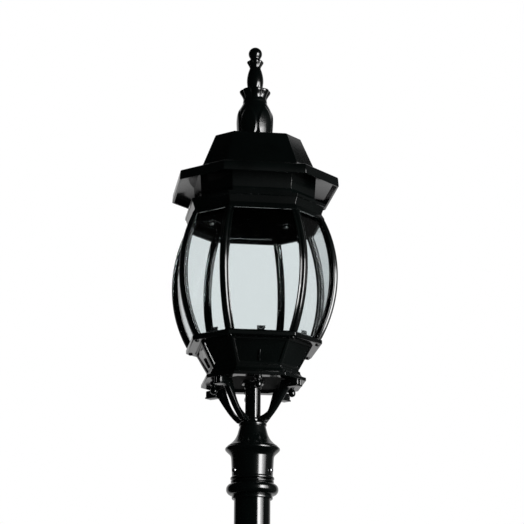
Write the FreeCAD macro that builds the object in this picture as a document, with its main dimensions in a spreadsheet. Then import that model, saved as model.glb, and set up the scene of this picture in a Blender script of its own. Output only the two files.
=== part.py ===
"""Street lamp post: an eight-sided lantern on a round post with a cast base cover.

Millimetres, +Z up. The origin is the centre of the base plate's underside, and the lamp's wide
glass faces look along +X, -X, +Y and -Y.
"""
import FreeCAD, Part
import math
import os
import Sketcher

DIMENSIONS = {
    # Post
    "plate_radius": 150,
    "plate_thickness": 12,
    "anchor_circle": 110,
    "anchor_hole_radius": 7,
    "cable_hole_radius": 25,
    "column_step": 8,
    "column_wall": 3.6,
    "column_height": 900,
    "cover_radius": 138,
    "cover_height": 300,
    "cover_wall": 6,
    "collar_socket": 60,
    "collar_height": 64,
    "tube_radius": 30,
    "tube_wall": 3,
    "tube_rise": 735,
    "ring_height": 31.5,
    "ring_step": 13.2,
    # Fitter, stem and arms
    "grip_depth": 62,
    "fitter_wall": 4,
    "fitter_skirt": 40,
    "fitter_flange_step": 15.6,
    "fitter_neck_step": 8.2,
    "fitter_height": 97,
    "set_screw_height": 14,
    "set_screw_turn": 82.5,
    "stem_radius": 13,
    "stem_thread_radius": 9,
    "stem_bore": 6,
    "nut_height": 8,
    "nut_radius": 15,
    "arm_height": 64,
    "arm_width": 11,
    "arm_foot_radius": 97,
    "arm_foot_width": 16,
    "arm_foot_length": 24,
    "arm_foot_thickness": 14,
    "arm_screw_circle": 76,
    # Tray
    "corner_angle": 27,
    "flange_radius": 93.4,
    "flange_edge": 6,
    "tray_base_height": 19,
    "tray_floor": 6,
    "tray_recess_radius": 56,
    "tray_foot_radius": 80.6,
    "tray_head_radius": 105.2,
    "tray_height": 41.3,
    "tray_wall": 4,
    "drop_circle": 66,
    "drop_radius": 6.5,
    # Cage
    "ring_edge": 1.6,
    "ring_opening_radius": 88,
    "ring_thickness": 10,
    "ring_screw_circle": 92,
    "rib_screw_inset": 7,
    "cage_height": 206,
    "cage_bulge": 0.253,
    "rib_foot_radius": 120,
    "rib_spread": 6,
    "rib_lean": 0.54,
    "rib_width": 16,
    "rib_cap": 6,
    "rib_depth": 16,
    "rib_web": 6,
    "glass_thickness": 4,
    "glass_inset": 5.5,
    "pane_gap": 0.5,
    "pane_lap": 7,
    "top_ring_height": 28,
    "top_ring_waist": 10,
    "top_ring_waist_step": 5,
    "top_ring_flare": 1,
    "top_ring_wall": 4.5,
    "top_ring_web": 6,
    "throat_wall": 3,
    "throat_gap": 0.9,
    "throat_flare": 4,
    "roof_screw_circle": 92,
    # Roof and finial
    "roof_angle": 31.5,
    "roof_gap": 28.3,
    "skirt_height": 16.7,
    "brim_radius": 152,
    "brim_head_radius": 150.5,
    "cove_height": 19.8,
    "roof_foot_radius": 109.8,
    "roof_head_radius": 85.2,
    "roof_rise": 53.8,
    "roof_wall": 4,
    "pillar_radius": 7,
    "finial_height": 180.4,
    "finial_radius": 33.4,
    "finial_stud_radius": 4,
    # Lamp
    "holder_radius": 20,
    "holder_height": 38,
    "holder_bore": 13.9,
    "holder_floor": 6,
    "strip_thickness": 1.5,
    "strip_screw_reach": 39,
    "earth_screw_reach": 36,
    "lamp_cap_radius": 13.1,
    "lamp_cap_height": 27,
    "lamp_radius": 22.5,
    "lamp_length": 72,
    # Fits and screws
    "slip_fit": 0.05,
    "running_fit": 0.08,
    "seat_gap": 0.3,
    "loose_gap": 0.5,
    "small_screw": 2,
    "medium_screw": 2.5,
    "large_screw": 3,
}

doc = FreeCAD.newDocument("StreetLampPost")
dims = doc.addObject("Spreadsheet::Sheet", "Dims")
for row, (alias, number) in enumerate(DIMENSIONS.items(), 1):
    dims.set(f"A{row}", alias)
    dims.set(f"B{row}", str(number))
    dims.setAlias(f"B{row}", alias)
doc.recompute()

# Levels above the ground, each the one below plus what stands between them
FITTER = "(Dims.column_height + Dims.tube_rise)"
STEM = f"({FITTER} + Dims.fitter_height)"
TRAY_BASE = f"({STEM} + Dims.arm_height)"
TRAY_FLOOR = f"({TRAY_BASE} + Dims.tray_floor)"
TRAY = f"({TRAY_BASE} + Dims.tray_base_height)"
RING = f"({TRAY} + Dims.tray_height)"
CAGE = f"({RING} + Dims.ring_thickness)"
TOP_RING = f"({CAGE} + Dims.cage_height)"
RING_WEB = f"({TOP_RING} + Dims.top_ring_height - Dims.top_ring_web)"
ROOF = f"({TOP_RING} + Dims.top_ring_height + Dims.roof_gap)"
ROOF_TOP = f"({ROOF} + Dims.skirt_height + Dims.cove_height + Dims.roof_rise)"
STRIP = f"({TRAY_FLOOR} + Dims.nut_height + 2)"
HOLDER = f"({STRIP} + Dims.strip_thickness)"
LAMP = f"({HOLDER} + Dims.holder_floor)"

COLUMN_RADIUS = "(Dims.tube_radius + Dims.column_step)"
FITTER_FLANGE = "(Dims.tube_radius + Dims.fitter_flange_step)"
FITTER_NECK = "(Dims.tube_radius - Dims.fitter_neck_step)"
RIB_HEAD = "(Dims.rib_foot_radius + Dims.rib_spread)"
RING_CORNER = "(Dims.rib_foot_radius + Dims.ring_edge)"
RIB_SCREW_CIRCLE = "(Dims.rib_foot_radius - Dims.rib_screw_inset)"
NARROW_ANGLE = "(45 - Dims.corner_angle)"
PANE_HEIGHT = "(Dims.cage_height + Dims.pane_lap)"
sub_parts = []


def value(expression):
    """The number that an expression of the sheet's sizes stands for."""
    result = dims.evalExpression(expression)
    return float(getattr(result, "Value", result))


def new_part(name, height="0", turn="0"):
    """An empty sub-part, placed at a height and turned about the post's axis."""
    part = doc.addObject("PartDesign::Body", name)
    part.Label = name
    upright = FreeCAD.Rotation(FreeCAD.Vector(0, 0, 1), 1)
    part.Placement = FreeCAD.Placement(FreeCAD.Vector(0, 0, 0), upright)
    part.setExpression("Placement.Base.z", height)
    part.setExpression("Placement.Rotation.Angle", turn)
    sub_parts.append(part)
    return part


def datum(part, role):
    """One of the part's own origin planes or axes."""
    return next(item for item in part.Origin.OriginFeatures if item.Role == role)


def radius_of(start, end, bulge):
    """Radius expression of an arc between two points; a bulge of 1 is a half circle."""
    chord = f"sqrt(({end[0]} - ({start[0]}))^2 + ({end[1]} - ({start[1]}))^2)"
    return f"{chord} * (1 + ({bulge})^2) / (4 * ({bulge}))"


def add_edge(sketch, start, end, bulge):
    """A line or an arc from start to end; returns it with its start and end vertex numbers."""
    first = FreeCAD.Vector(value(start[0]), value(start[1]), 0)
    last = FreeCAD.Vector(value(end[0]), value(end[1]), 0)
    if bulge is None:
        return sketch.addGeometry(Part.LineSegment(first, last), False), 1, 2
    hollow = bulge.startswith("-")
    size = bulge.lstrip("-")
    chord = last - first
    outward = FreeCAD.Vector(chord.y, -chord.x, 0) * (value(size) / 2)
    middle = (first + last) / 2 + (outward * -1 if hollow else outward)
    edge = sketch.addGeometry(Part.Arc(first, middle, last), False)
    radius = radius_of(start, end, size)
    number = sketch.addConstraint(Sketcher.Constraint("Radius", edge, value(radius)))
    sketch.setExpression(f"Constraints[{number}]", radius)
    if (sketch.getPoint(edge, 1) - first).Length < 1e-6:
        return edge, 1, 2
    return edge, 2, 1


def pin_vertex(sketch, edge, vertex, point):
    """Ties a vertex to its two coordinates, or to an axis where a coordinate is 0."""
    for kind, expression, axis in (("DistanceX", point[0], -2), ("DistanceY", point[1], -1)):
        if expression == "0":
            sketch.addConstraint(Sketcher.Constraint("PointOnObject", edge, vertex, axis))
        else:
            rule = Sketcher.Constraint(kind, edge, vertex, value(expression))
            sketch.setExpression(f"Constraints[{sketch.addConstraint(rule)}]", expression)


def outline(part, role, points, lift=None, shift=None, turn=0):
    """A closed sketch. A point is (x, y) or (x, y, bulge of the edge that leaves it)."""
    sketch = part.newObject("Sketcher::SketchObject", part.Label + "_outline")
    sketch.AttachmentSupport = [(datum(part, role), "")]
    sketch.MapMode = "FlatFace"
    if turn:
        upright = FreeCAD.Vector(0, 1, 0)
        sketch.AttachmentOffset = FreeCAD.Placement(FreeCAD.Vector(), FreeCAD.Rotation(upright, turn))
    if lift:
        sketch.setExpression("AttachmentOffset.Base." + ("z" if role == "XY_Plane" else "y"), lift)
    if shift:
        reach = math.cos(math.radians(turn))
        side = math.sin(math.radians(turn))
        sketch.setExpression("AttachmentOffset.Base.x", f"({shift}) * {reach}")
        sketch.setExpression("AttachmentOffset.Base.z", f"({shift}) * {-side}")
    edges = []
    for start, end in zip(points, points[1:] + points[:1]):
        edges.append(add_edge(sketch, start, end, start[2] if len(start) > 2 else None))
    for (edge, _, last), (following, first, _) in zip(edges, edges[1:] + edges[:1]):
        sketch.addConstraint(Sketcher.Constraint("Coincident", edge, last, following, first))
    for (edge, first, _), point in zip(edges, points):
        pin_vertex(sketch, edge, first, point)
    return sketch


def turned(part, points, lift=None, shift=None, turn=0, axis="V_Axis", cut=False):
    """A shape turned about the sketch's upright or level axis, added or cut away."""
    sketch = outline(part, "XZ_Plane", points, lift, shift, turn)
    kind = "PartDesign::Groove" if cut else "PartDesign::Revolution"
    feature = part.newObject(kind, part.Label + ("_turned_cut" if cut else "_turned"))
    feature.Profile = sketch
    feature.ReferenceAxis = (sketch, [axis])
    feature.Angle = 360
    return feature


def straight(part, role, points, length, lift=None, cut=False, both=False, turn=0):
    """A flat outline given a length, upwards from its plane or to both sides of it."""
    sketch = outline(part, role, points, lift, turn=turn)
    kind = "PartDesign::Pocket" if cut else "PartDesign::Pad"
    feature = part.newObject(kind, part.Label + ("_pocket" if cut else "_pad"))
    feature.Profile = sketch
    feature.setExpression("Length", length)
    feature.SideType = "Symmetric" if both else "One side"
    feature.Reversed = cut and not both
    return feature


def tapered(part, lower, upper, base, top, cut=False):
    """A ruled shape between two flat outlines at two heights."""
    low = outline(part, "XY_Plane", lower, base)
    high = outline(part, "XY_Plane", upper, top)
    kind = "PartDesign::SubtractiveLoft" if cut else "PartDesign::AdditiveLoft"
    feature = part.newObject(kind, part.Label + ("_taper_cut" if cut else "_taper"))
    feature.Profile = low
    feature.Sections = [(high, [""])]
    feature.Ruled = True
    return feature


def repeat(part, features, count):
    """The features again, count times in all, evenly round the post's axis."""
    pattern = part.newObject("PartDesign::PolarPattern", part.Label + "_pattern")
    pattern.Originals = features
    pattern.Axis = (datum(part, "Z_Axis"), [""])
    pattern.Angle = 360
    pattern.Occurrences = count
    part.Tip = pattern
    return pattern


def octagon(radius, angle="Dims.corner_angle"):
    """Eight corners at one radius, each at an angle from the middle of a wide side."""
    far = f"({radius}) * cos({angle})"
    near = f"({radius}) * sin({angle})"
    corners = [(far, near), (near, far)]
    corners += [("-" + near, far), ("-" + far, near)]
    corners += [("-" + far, "-" + near), ("-" + near, "-" + far)]
    corners += [(near, "-" + far), (far, "-" + near)]
    return corners


def box(left, bottom, right, top):
    """A rectangle's corners, anticlockwise."""
    return [(left, bottom), (right, bottom), (right, top), (left, top)]


def hexagon(radius):
    """Six corners at one radius."""
    half = f"({radius}) / 2"
    high = f"({radius}) * sin(60)"
    return [(radius, "0"), (half, high), ("-" + half, high), (f"-({radius})", "0"),
            ("-" + half, "-" + high), (half, "-" + high)]


def drilled(part, across, along, radius, depth):
    """A round hole upwards from the part's own floor, at a place given across and along it."""
    sketch = part.newObject("Sketcher::SketchObject", part.Label + "_drill_point")
    sketch.AttachmentSupport = [(datum(part, "XY_Plane"), "")]
    sketch.MapMode = "FlatFace"
    centre = FreeCAD.Vector(value(across), value(along), 0)
    edge = sketch.addGeometry(Part.Circle(centre, FreeCAD.Vector(0, 0, 1), value(radius)), False)
    pin_vertex(sketch, edge, 3, (across, along))
    number = sketch.addConstraint(Sketcher.Constraint("Radius", edge, value(radius)))
    sketch.setExpression(f"Constraints[{number}]", radius)
    feature = part.newObject("PartDesign::Pocket", part.Label + "_drilled")
    feature.Profile = sketch
    feature.setExpression("Length", depth)
    feature.Reversed = True
    return feature


def hole(part, radius, depth, lift=None, shift=None, turn=0):
    """An upright round hole of a depth above its lift."""
    return turned(part, box("0", "0", radius, depth), lift, shift, turn, cut=True)


# Post ---------------------------------------------------------------------------------------

def base_plate():
    """Round steel plate with four anchor holes and a cable hole."""
    part = new_part("base_plate")
    turned(part, box("Dims.cable_hole_radius", "0", "Dims.plate_radius", "Dims.plate_thickness"))
    anchor = hole(part, "Dims.anchor_hole_radius", "Dims.plate_thickness",
                  shift="Dims.anchor_circle", turn=45)
    repeat(part, [anchor], 4)


def lower_column():
    """Steel tube that stands on the plate."""
    part = new_part("lower_column", "Dims.plate_thickness")
    inner = f"{COLUMN_RADIUS} - Dims.column_wall"
    turned(part, box(inner, "0", COLUMN_RADIUS, "Dims.column_height - Dims.plate_thickness"))


def base_cover():
    """Cast bell that hides the anchor bolts and slides up the column."""
    part = new_part("base_cover", "Dims.plate_thickness")
    bore = f"{COLUMN_RADIUS} + Dims.loose_gap"
    neck = f"{bore} + Dims.cover_wall"
    top = "Dims.cover_height"
    foot = "Dims.cover_radius"
    wall = "Dims.cover_wall"
    turned(part, [
        (f"{foot} - {wall}", "0"), (foot, "0"), (foot, "14", "0.4"), (f"{foot} - 6", "20"),
        (f"{foot} - 9", "20"), (f"{foot} - 9", "24", "-0.3"), (f"{neck} + 34", "84", "0.15"),
        (f"{neck} + 15", f"{top} - 134", "-0.1"), (f"{neck} + 4", f"{top} - 62"),
        (f"{neck} + 8", f"{top} - 58", "0.8"), (f"{neck} + 8", f"{top} - 46"),
        (f"{neck} + 3", f"{top} - 42"), (neck, f"{top} - 24"), (f"{neck} + 2", f"{top} - 20"),
        (f"{neck} + 2", f"{top} - 4", "0.4"), (f"{neck} - 2", top), (bore, top),
        (bore, f"{top} - 24"), (f"{neck} - 1", f"{top} - 32"), (f"{neck} - 1", f"{top} - 66"),
        (f"{neck} + 9", f"{top} - 136"), (f"{neck} + 27", "82", "0.3"), (f"{foot} - 15", "24"),
        (f"{foot} - {wall}", "14")])
    socket = radial_hole(part, f"{top} - 12", COLUMN_RADIUS, "Dims.cover_wall + 6")
    repeat(part, [socket], 3)


def radial_screws(name, height, inner, outer, count, turn="0", body="Dims.large_screw"):
    """Screws that point at the post's axis, each with a domed head."""
    part = new_part(name, height, turn)
    length = f"({outer}) - ({inner})"
    screw = turned(part, [
        ("0", "0"), (f"{length} + 2.4", "0", "-0.3"), (f"{length} + 0.6", f"{body} + 1.4"),
        (length, f"{body} + 1.4"), (length, body), ("0.8", body), ("0", f"{body} - 0.8")],
        shift=inner, axis="H_Axis")
    repeat(part, [screw], count)


def radial_hole(part, height, inner, length):
    """A level hole that points at the post's axis, for one screw."""
    return turned(part, box("0", "0", length, "Dims.large_screw"), height, inner, axis="H_Axis", cut=True)


def column_collar():
    """Turned collar that steps the column down to the upper tube."""
    part = new_part("column_collar", "Dims.column_height")
    bore = "Dims.tube_radius + Dims.slip_fit"
    socket = f"{COLUMN_RADIUS} - Dims.column_wall - Dims.slip_fit"
    rim = COLUMN_RADIUS
    top = "Dims.collar_height"
    turned(part, [
        ("Dims.tube_radius - 5", "-Dims.collar_socket"), (socket, "-Dims.collar_socket"),
        (socket, "0"), (rim, "0"), (f"{rim} + 3", "2"), (f"{rim} + 3", "6"), (f"{rim} + 1", "8", "0.8"),
        (f"{rim} + 1", "24"), (f"{rim} + 2", "26"), (f"{rim} + 2", "30", "-0.3"),
        (f"{bore} + 6", f"{top} - 21"), (f"{bore} + 7", f"{top} - 19", "0.4"),
        (f"{bore} + 7", f"{top} - 14"), (f"{bore} + 5", f"{top} - 12"), (f"{bore} + 5", f"{top} - 1"),
        (f"{bore} + 4", top), (bore, top),
        (bore, "5 - Dims.collar_socket"), ("Dims.tube_radius - 5", "5 - Dims.collar_socket")])
    socket = radial_hole(part, f"{top} - 6", "Dims.tube_radius - 1", "12")
    repeat(part, [socket], 3)


def upper_tube():
    """Steel tube from inside the collar to inside the fitter."""
    foot = "(Dims.column_height - Dims.collar_socket + 5)"
    part = new_part("upper_tube", foot)
    inner = "Dims.tube_radius - Dims.tube_wall"
    turned(part, box(inner, "0", "Dims.tube_radius", f"{FITTER} + Dims.grip_depth - {foot}"))


def post_ring():
    """Moulded ring just under the fitter."""
    part = new_part("post_ring", f"{FITTER} - Dims.ring_height - Dims.loose_gap")
    bore = "Dims.tube_radius + Dims.slip_fit"
    half = "(Dims.ring_step - 5) / 9"
    turned(part, [
        (bore, "0"), ("Dims.tube_radius + 3", "0", "0.7"), ("Dims.tube_radius + 3", "5.5"),
        ("Dims.tube_radius + 5", "7", half), ("Dims.tube_radius + 5", "25"),
        ("Dims.tube_radius + 4", "26"), ("Dims.tube_radius + 4", "27", "0.6"),
        ("Dims.tube_radius + 4", "Dims.ring_height - 0.5"), (bore, "Dims.ring_height - 0.5")])


# Fitter, stem and arms ----------------------------------------------------------------------

def post_fitter():
    """Cast cap with a bell top that slips over the tube and carries the lantern."""
    part = new_part("post_fitter", FITTER, "Dims.set_screw_turn")
    bore = "Dims.tube_radius + Dims.running_fit"
    skin = f"{bore} + Dims.fitter_wall"
    ledge = "Dims.grip_depth + Dims.seat_gap"
    stem = "Dims.stem_thread_radius + Dims.slip_fit"
    neck = FITTER_NECK
    top = "Dims.fitter_height"
    flange = FITTER_FLANGE
    turned(part, [
        (bore, "0"), (f"{skin} + 1", "0", "0.6"), (f"{skin} + 1", "4"), (skin, "5"),
        (f"{skin} + 1.6", "Dims.fitter_skirt"), (f"{flange} - 1", "Dims.fitter_skirt + 10"),
        (flange, "Dims.fitter_skirt + 11.4", "0.5"), (f"{flange} - 1.5", "Dims.fitter_skirt + 14", "-0.22"),
        (neck, f"{top} - 7"), (f"{neck} + 1", f"{top} - 6", "0.7"), (f"{neck} + 1", f"{top} - 1"),
        (f"{neck} - 1", top), (stem, top), (stem, f"{top} - 13"), (f"{neck} - 5.3", f"{top} - 13"),
        ("Dims.tube_radius - 4", ledge), (bore, ledge)])
    socket = radial_hole(part, "Dims.set_screw_height", "Dims.tube_radius - 1", "Dims.fitter_wall + 6")
    repeat(part, [socket], 3)


def stem_tube():
    """Hollow stem from the fitter to the tray, threaded at both ends."""
    part = new_part("stem_tube", STEM)
    thread = "Dims.stem_thread_radius"
    stem = "Dims.stem_radius"
    low = "-(13 + Dims.nut_height + 2)"
    rise = "Dims.arm_height"
    high = f"{rise} + Dims.tray_floor + Dims.nut_height + 1"
    turned(part, [
        ("Dims.stem_bore", low), (thread, low), (thread, "0"), (f"{stem} + 2", "0", "0.6"),
        (f"{stem} + 2", "5"), (stem, "6"), (stem, f"{rise} - 6"), (f"{stem} + 2", f"{rise} - 5"),
        (f"{stem} + 2", rise), (thread, rise), (thread, high), ("Dims.stem_bore", high)])


def stem_nuts():
    """The nut under the fitter's top and the nut on the tray's floor."""
    part = new_part("stem_nuts", STEM)
    low = "-(13 + Dims.nut_height)"
    high = "Dims.arm_height + Dims.tray_floor"
    for level in (low, high):
        straight(part, "XY_Plane", hexagon("Dims.nut_radius"), "Dims.nut_height", level)
        hole(part, "Dims.stem_thread_radius + Dims.slip_fit", "Dims.nut_height", level)


def arm(number):
    """Curved strap from the stem's foot out to a block under the tray."""
    part = new_part(f"arm_{number}", STEM, f"{90 * number - 45}")
    rise = "Dims.arm_height"
    foot = "Dims.arm_foot_radius"
    inner = "Dims.stem_radius + 4"
    shelf = f"{rise} - Dims.arm_foot_thickness"
    heel = f"{foot} - Dims.arm_foot_length"
    straight(part, "XZ_Plane", [
        (inner, "0"), (f"{inner} + 12", "0"), (f"{foot} - 40", f"0.45 * {rise}", "-0.06"),
        (heel, shelf), (heel, rise), (f"{foot} - 36", rise, "-0.05"),
        (f"{foot} - 48", f"0.47 * {rise}", "-0.05"), (inner, "8")], "Dims.arm_width", both=True)
    straight(part, "XZ_Plane", box(heel, shelf, foot, rise), "Dims.arm_foot_width", both=True)
    hole(part, "Dims.medium_screw + 0.2", rise, shift="Dims.arm_screw_circle")
    hole(part, "Dims.medium_screw + 2.4", f"{rise} - 9", shift="Dims.arm_screw_circle")


def upright_screws(name, height, circle, shank, head, turn="0", count=4, body="Dims.medium_screw"):
    """Screws that point up from a domed head, evenly round the post's axis."""
    part = new_part(name, height, turn)
    rim = f"{body} + 2"
    screw = turned(part, [("0", f"-({head})"), (f"{body} + 1.2", f"-({head})"), (rim, f"0.8 - ({head})"),
                          (rim, "0"), (body, "0"), (body, f"({shank}) - 0.8"),
                          (f"{body} - 0.8", shank), ("0", shank)], shift=circle)
    repeat(part, [screw], count)


def hanging_screws(name, height, circle, shank, head, turn="0", body="Dims.small_screw"):
    """Four screws that point down from a domed head, evenly round the post's axis."""
    part = new_part(name, height, turn)
    rim = f"{body} + 1.8"
    screw = turned(part, [("0", f"-({shank})"), (body, f"-({shank})"), (body, "0"), (rim, "0"),
                          (rim, f"0.5 * {head}", "0.2"), ("1", head), ("0", head)], shift=circle)
    repeat(part, [screw], 4)


def ball_drops():
    """Turned ball on a stud that holds the tray to its base, one under each wide side."""
    part = new_part("ball_drops", TRAY_BASE)
    ball = "Dims.drop_radius"
    stud = "Dims.tray_base_height + 10"
    foot = f"-(2 * {ball} + 6)"
    drop = turned(part, [
        ("0", foot), ("1", foot, "0.7"), ("3.2", "-7"), ("3.2", "-4"), (ball, "-2.5"), (ball, "0"),
        ("Dims.medium_screw", "0"), ("Dims.medium_screw", stud), ("0", stud)], shift="Dims.drop_circle")
    repeat(part, [drop], 4)


# Tray ---------------------------------------------------------------------------------------

def tray_base():
    """Eight-sided foot of the tray, recessed on top for the lampholder."""
    part = new_part("tray_base", TRAY_BASE)
    edge = "Dims.flange_edge"
    straight(part, "XY_Plane", octagon("Dims.flange_radius"), edge)
    tapered(part, octagon("Dims.flange_radius"), octagon("Dims.tray_foot_radius"), edge,
            "Dims.tray_base_height")
    hole(part, "Dims.tray_recess_radius", "Dims.tray_base_height", "Dims.tray_floor")
    hole(part, "Dims.stem_thread_radius + Dims.slip_fit", "Dims.tray_base_height")
    screw = hole(part, "Dims.medium_screw", "11", shift="Dims.arm_screw_circle", turn=45)
    stud = hole(part, "Dims.medium_screw + 0.3", "Dims.tray_base_height", shift="Dims.drop_circle")
    repeat(part, [screw, stud], 4)
    drilled(part, "0", "Dims.strip_screw_reach", "Dims.small_screw", "Dims.tray_floor")
    drilled(part, "0", "-Dims.strip_screw_reach", "Dims.small_screw", "Dims.tray_floor")
    drilled(part, "-Dims.earth_screw_reach", "0", "Dims.medium_screw", "Dims.tray_floor")


def tray_body():
    """Eight-sided dish under the cage, with a top flange and four screw bosses."""
    part = new_part("tray_body", TRAY)
    foot = "Dims.tray_foot_radius"
    head = "Dims.tray_head_radius"
    wall = "Dims.tray_wall"
    rise = "Dims.tray_height"
    tapered(part, octagon(foot), octagon(head), "0", rise)
    boss = "Dims.medium_screw + 2.6"
    tapered(part, octagon(f"{foot} - {wall}"), octagon(f"{head} - {wall} - 2"), "0", f"{rise} - 5",
            cut=True)
    straight(part, "XY_Plane", octagon("Dims.ring_opening_radius"), "6", f"{rise} - 5.5", cut=True)
    pillar = turned(part, box("0", "0", boss, "14"), shift="Dims.drop_circle")
    thread = hole(part, "Dims.medium_screw", "12", shift="Dims.drop_circle")
    repeat(part, [pillar, thread], 4)
    screw = hole(part, "Dims.small_screw", "5", f"{rise} - 5", "Dims.ring_screw_circle", 45)
    repeat(part, [screw], 4)


def lampholder_strip():
    """Bent strip that stands on the tray's floor over the stem nut and carries the lampholder."""
    part = new_part("lampholder_strip", TRAY_FLOOR, "90")
    thick = "Dims.strip_thickness"
    height = "Dims.nut_height + 2 + Dims.strip_thickness"
    straight(part, "XZ_Plane", [
        ("-46", "0"), ("-28", "0"), ("-28", f"{height} - {thick}"), ("28", f"{height} - {thick}"),
        ("28", "0"), ("46", "0"), ("46", thick), (f"28 + {thick}", thick), (f"28 + {thick}", height),
        (f"-28 - {thick}", height), (f"-28 - {thick}", thick), ("-46", thick)], "24", both=True)
    hole(part, "Dims.stem_bore", height)
    ear = hole(part, "Dims.small_screw + 0.2", thick, shift="Dims.strip_screw_reach")
    repeat(part, [ear], 2)


def strip_screws():
    """Two screws through the strip's feet into the tray's floor."""
    part = new_part("strip_screws", TRAY_FLOOR, "90")
    thick = "Dims.strip_thickness"
    body = "Dims.small_screw"
    top = f"{thick} + 2.6"
    screw = turned(part, [
        ("0", "-4"), (body, "-4"), (body, thick), ("4", thick), ("4", f"{thick} + 1.4", "0.2"),
        ("1", top), ("0", top)], shift="Dims.strip_screw_reach")
    repeat(part, [screw], 2)


def lampholder():
    """Ceramic cup that the lamp screws into."""
    part = new_part("lampholder", HOLDER)
    shell = "Dims.holder_radius"
    rise = "Dims.holder_height"
    turned(part, [
        ("3.5", "0"), (f"{shell} - 2", "0"), (shell, "2"), (shell, f"{rise} - 12"),
        (f"{shell} - 2", f"{rise} - 10"), (f"{shell} - 2", f"{rise} - 1"), (f"{shell} - 3", rise),
        ("Dims.holder_bore + 0.8", rise),
        ("Dims.holder_bore + 0.8", "Dims.holder_floor"), ("3.5", "Dims.holder_floor")])


def holder_sleeve():
    """Threaded metal sleeve inside the ceramic cup."""
    part = new_part("holder_sleeve", HOLDER)
    bore = "Dims.holder_bore"
    turned(part, box(bore, "Dims.holder_floor", f"{bore} + 0.8", "Dims.holder_height - 3"))


def holder_contact():
    """Spring contact at the bottom of the cup, with its rivet through the floor."""
    part = new_part("holder_contact", HOLDER)
    floor = "Dims.holder_floor"
    turned(part, [("0", "0.5"), ("3.4", "0.5"), ("3.4", floor), ("5.5", floor), ("5.5", f"{floor} + 0.6"),
                  ("0", f"{floor} + 0.6")])


def lamp_cap():
    """Metal screw cap of the lamp."""
    part = new_part("lamp_cap", LAMP)
    rim = "Dims.lamp_cap_radius"
    rise = "Dims.lamp_cap_height"
    turned(part, [
        ("0", "1"), ("4", "1"), ("4.5", "2.4"), (f"{rim} - 3", "4"), (rim, "6"), (rim, rise), ("0", rise)])


def lamp_bulb():
    """Small round lamp bulb, a closed shape of glass."""
    part = new_part("lamp_bulb", LAMP)
    neck = "Dims.lamp_cap_radius - 0.6"
    ball = "Dims.lamp_radius"
    rise = "Dims.lamp_cap_height"
    top = "Dims.lamp_length"
    turned(part, [
        ("0", rise), (neck, rise), (neck, f"{rise} + 2", "-0.1"), (f"{ball} - 4", f"{top} - 36", "0.32"),
        (f"{ball} - 4.5", f"{top} - 10", "0.24"), ("1.5", top), ("0", top)])


def terminal_block():
    """Moulded terminal block beside the lampholder, with its wire entries."""
    part = new_part("terminal_block", TRAY_FLOOR)
    straight(part, "XZ_Plane", box("28", "0", "44", "14"), "40", both=True)
    for place in ("-12", "0", "12"):
        sketch_box = box("33", f"{place} - 3", "39", f"{place} + 3")
        straight(part, "XY_Plane", sketch_box, "10", "6", cut=True)


def earth_screw():
    """Earth screw with its washer, in the tray's floor."""
    part = new_part("earth_screw", TRAY_FLOOR)
    body = "Dims.medium_screw"
    turned(part, [
        ("0", "-4"), (body, "-4"), (body, "0"), ("6", "0"), ("6", "1.2"), ("4.6", "1.2"),
        ("4.6", "3.4", "0.2"), ("1", "5"), ("0", "5")], shift="-Dims.earth_screw_reach")


def cable_bush():
    """Rubber bush in the stem's upper end."""
    part = new_part("cable_bush", STEM)
    end = "Dims.arm_height + Dims.tray_floor + Dims.nut_height + 1"
    turned(part, [("3.5", f"{end} - 8"), ("Dims.stem_bore", f"{end} - 8"), ("Dims.stem_bore", end),
                  ("3.5", end)])


# Cage ---------------------------------------------------------------------------------------

def bottom_ring():
    """Flat eight-sided ring that the ribs and panes stand on."""
    part = new_part("bottom_ring", RING)
    thick = "Dims.ring_thickness"
    straight(part, "XY_Plane", octagon(RING_CORNER), thick)
    straight(part, "XY_Plane", octagon("Dims.ring_opening_radius"), thick, "0", cut=True)
    screw = hole(part, "Dims.small_screw + 0.2", thick, shift="Dims.ring_screw_circle", turn=45)
    repeat(part, [screw], 4)
    for side in ("Dims.corner_angle", "-Dims.corner_angle"):
        across = f"{RIB_SCREW_CIRCLE} * cos({side})"
        along = f"{RIB_SCREW_CIRCLE} * sin({side})"
        screw = drilled(part, across, along, "Dims.small_screw", thick)
        repeat(part, [screw], 4)


def cage_rib(number):
    """Bowed bar with a cap outside and a web between two panes."""
    side = "Dims.corner_angle" if number % 2 else "-Dims.corner_angle"
    part = new_part(f"cage_rib_{number}", CAGE, f"{90 * ((number - 1) // 2)} + {side}")
    foot = "Dims.rib_foot_radius"
    head = RIB_HEAD
    rise = "Dims.cage_height"
    bow = "Dims.cage_bulge"
    for skin, depth, width in (("0", "Dims.rib_cap", "Dims.rib_width"),
                               ("Dims.rib_cap - 1", "Dims.rib_depth", "Dims.rib_web")):
        straight(part, "XZ_Plane", [
            (f"{foot} - ({depth})", "0"), (f"{foot} - ({skin})", "0", bow), (f"{head} - ({skin})", rise),
            (f"{head} - ({depth})", rise, "-" + bow)], width, both=True)
    hole(part, "Dims.small_screw", "6", shift=RIB_SCREW_CIRCLE)


def rib_screws(number, side):
    """Four of the screws that hold the ribs to the ring, heads under the ring."""
    upright_screws(f"rib_screws_{number}", RING, RIB_SCREW_CIRCLE, "Dims.ring_thickness + 5", "2.2",
                   side, body="(Dims.small_screw - 0.1)")


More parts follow.
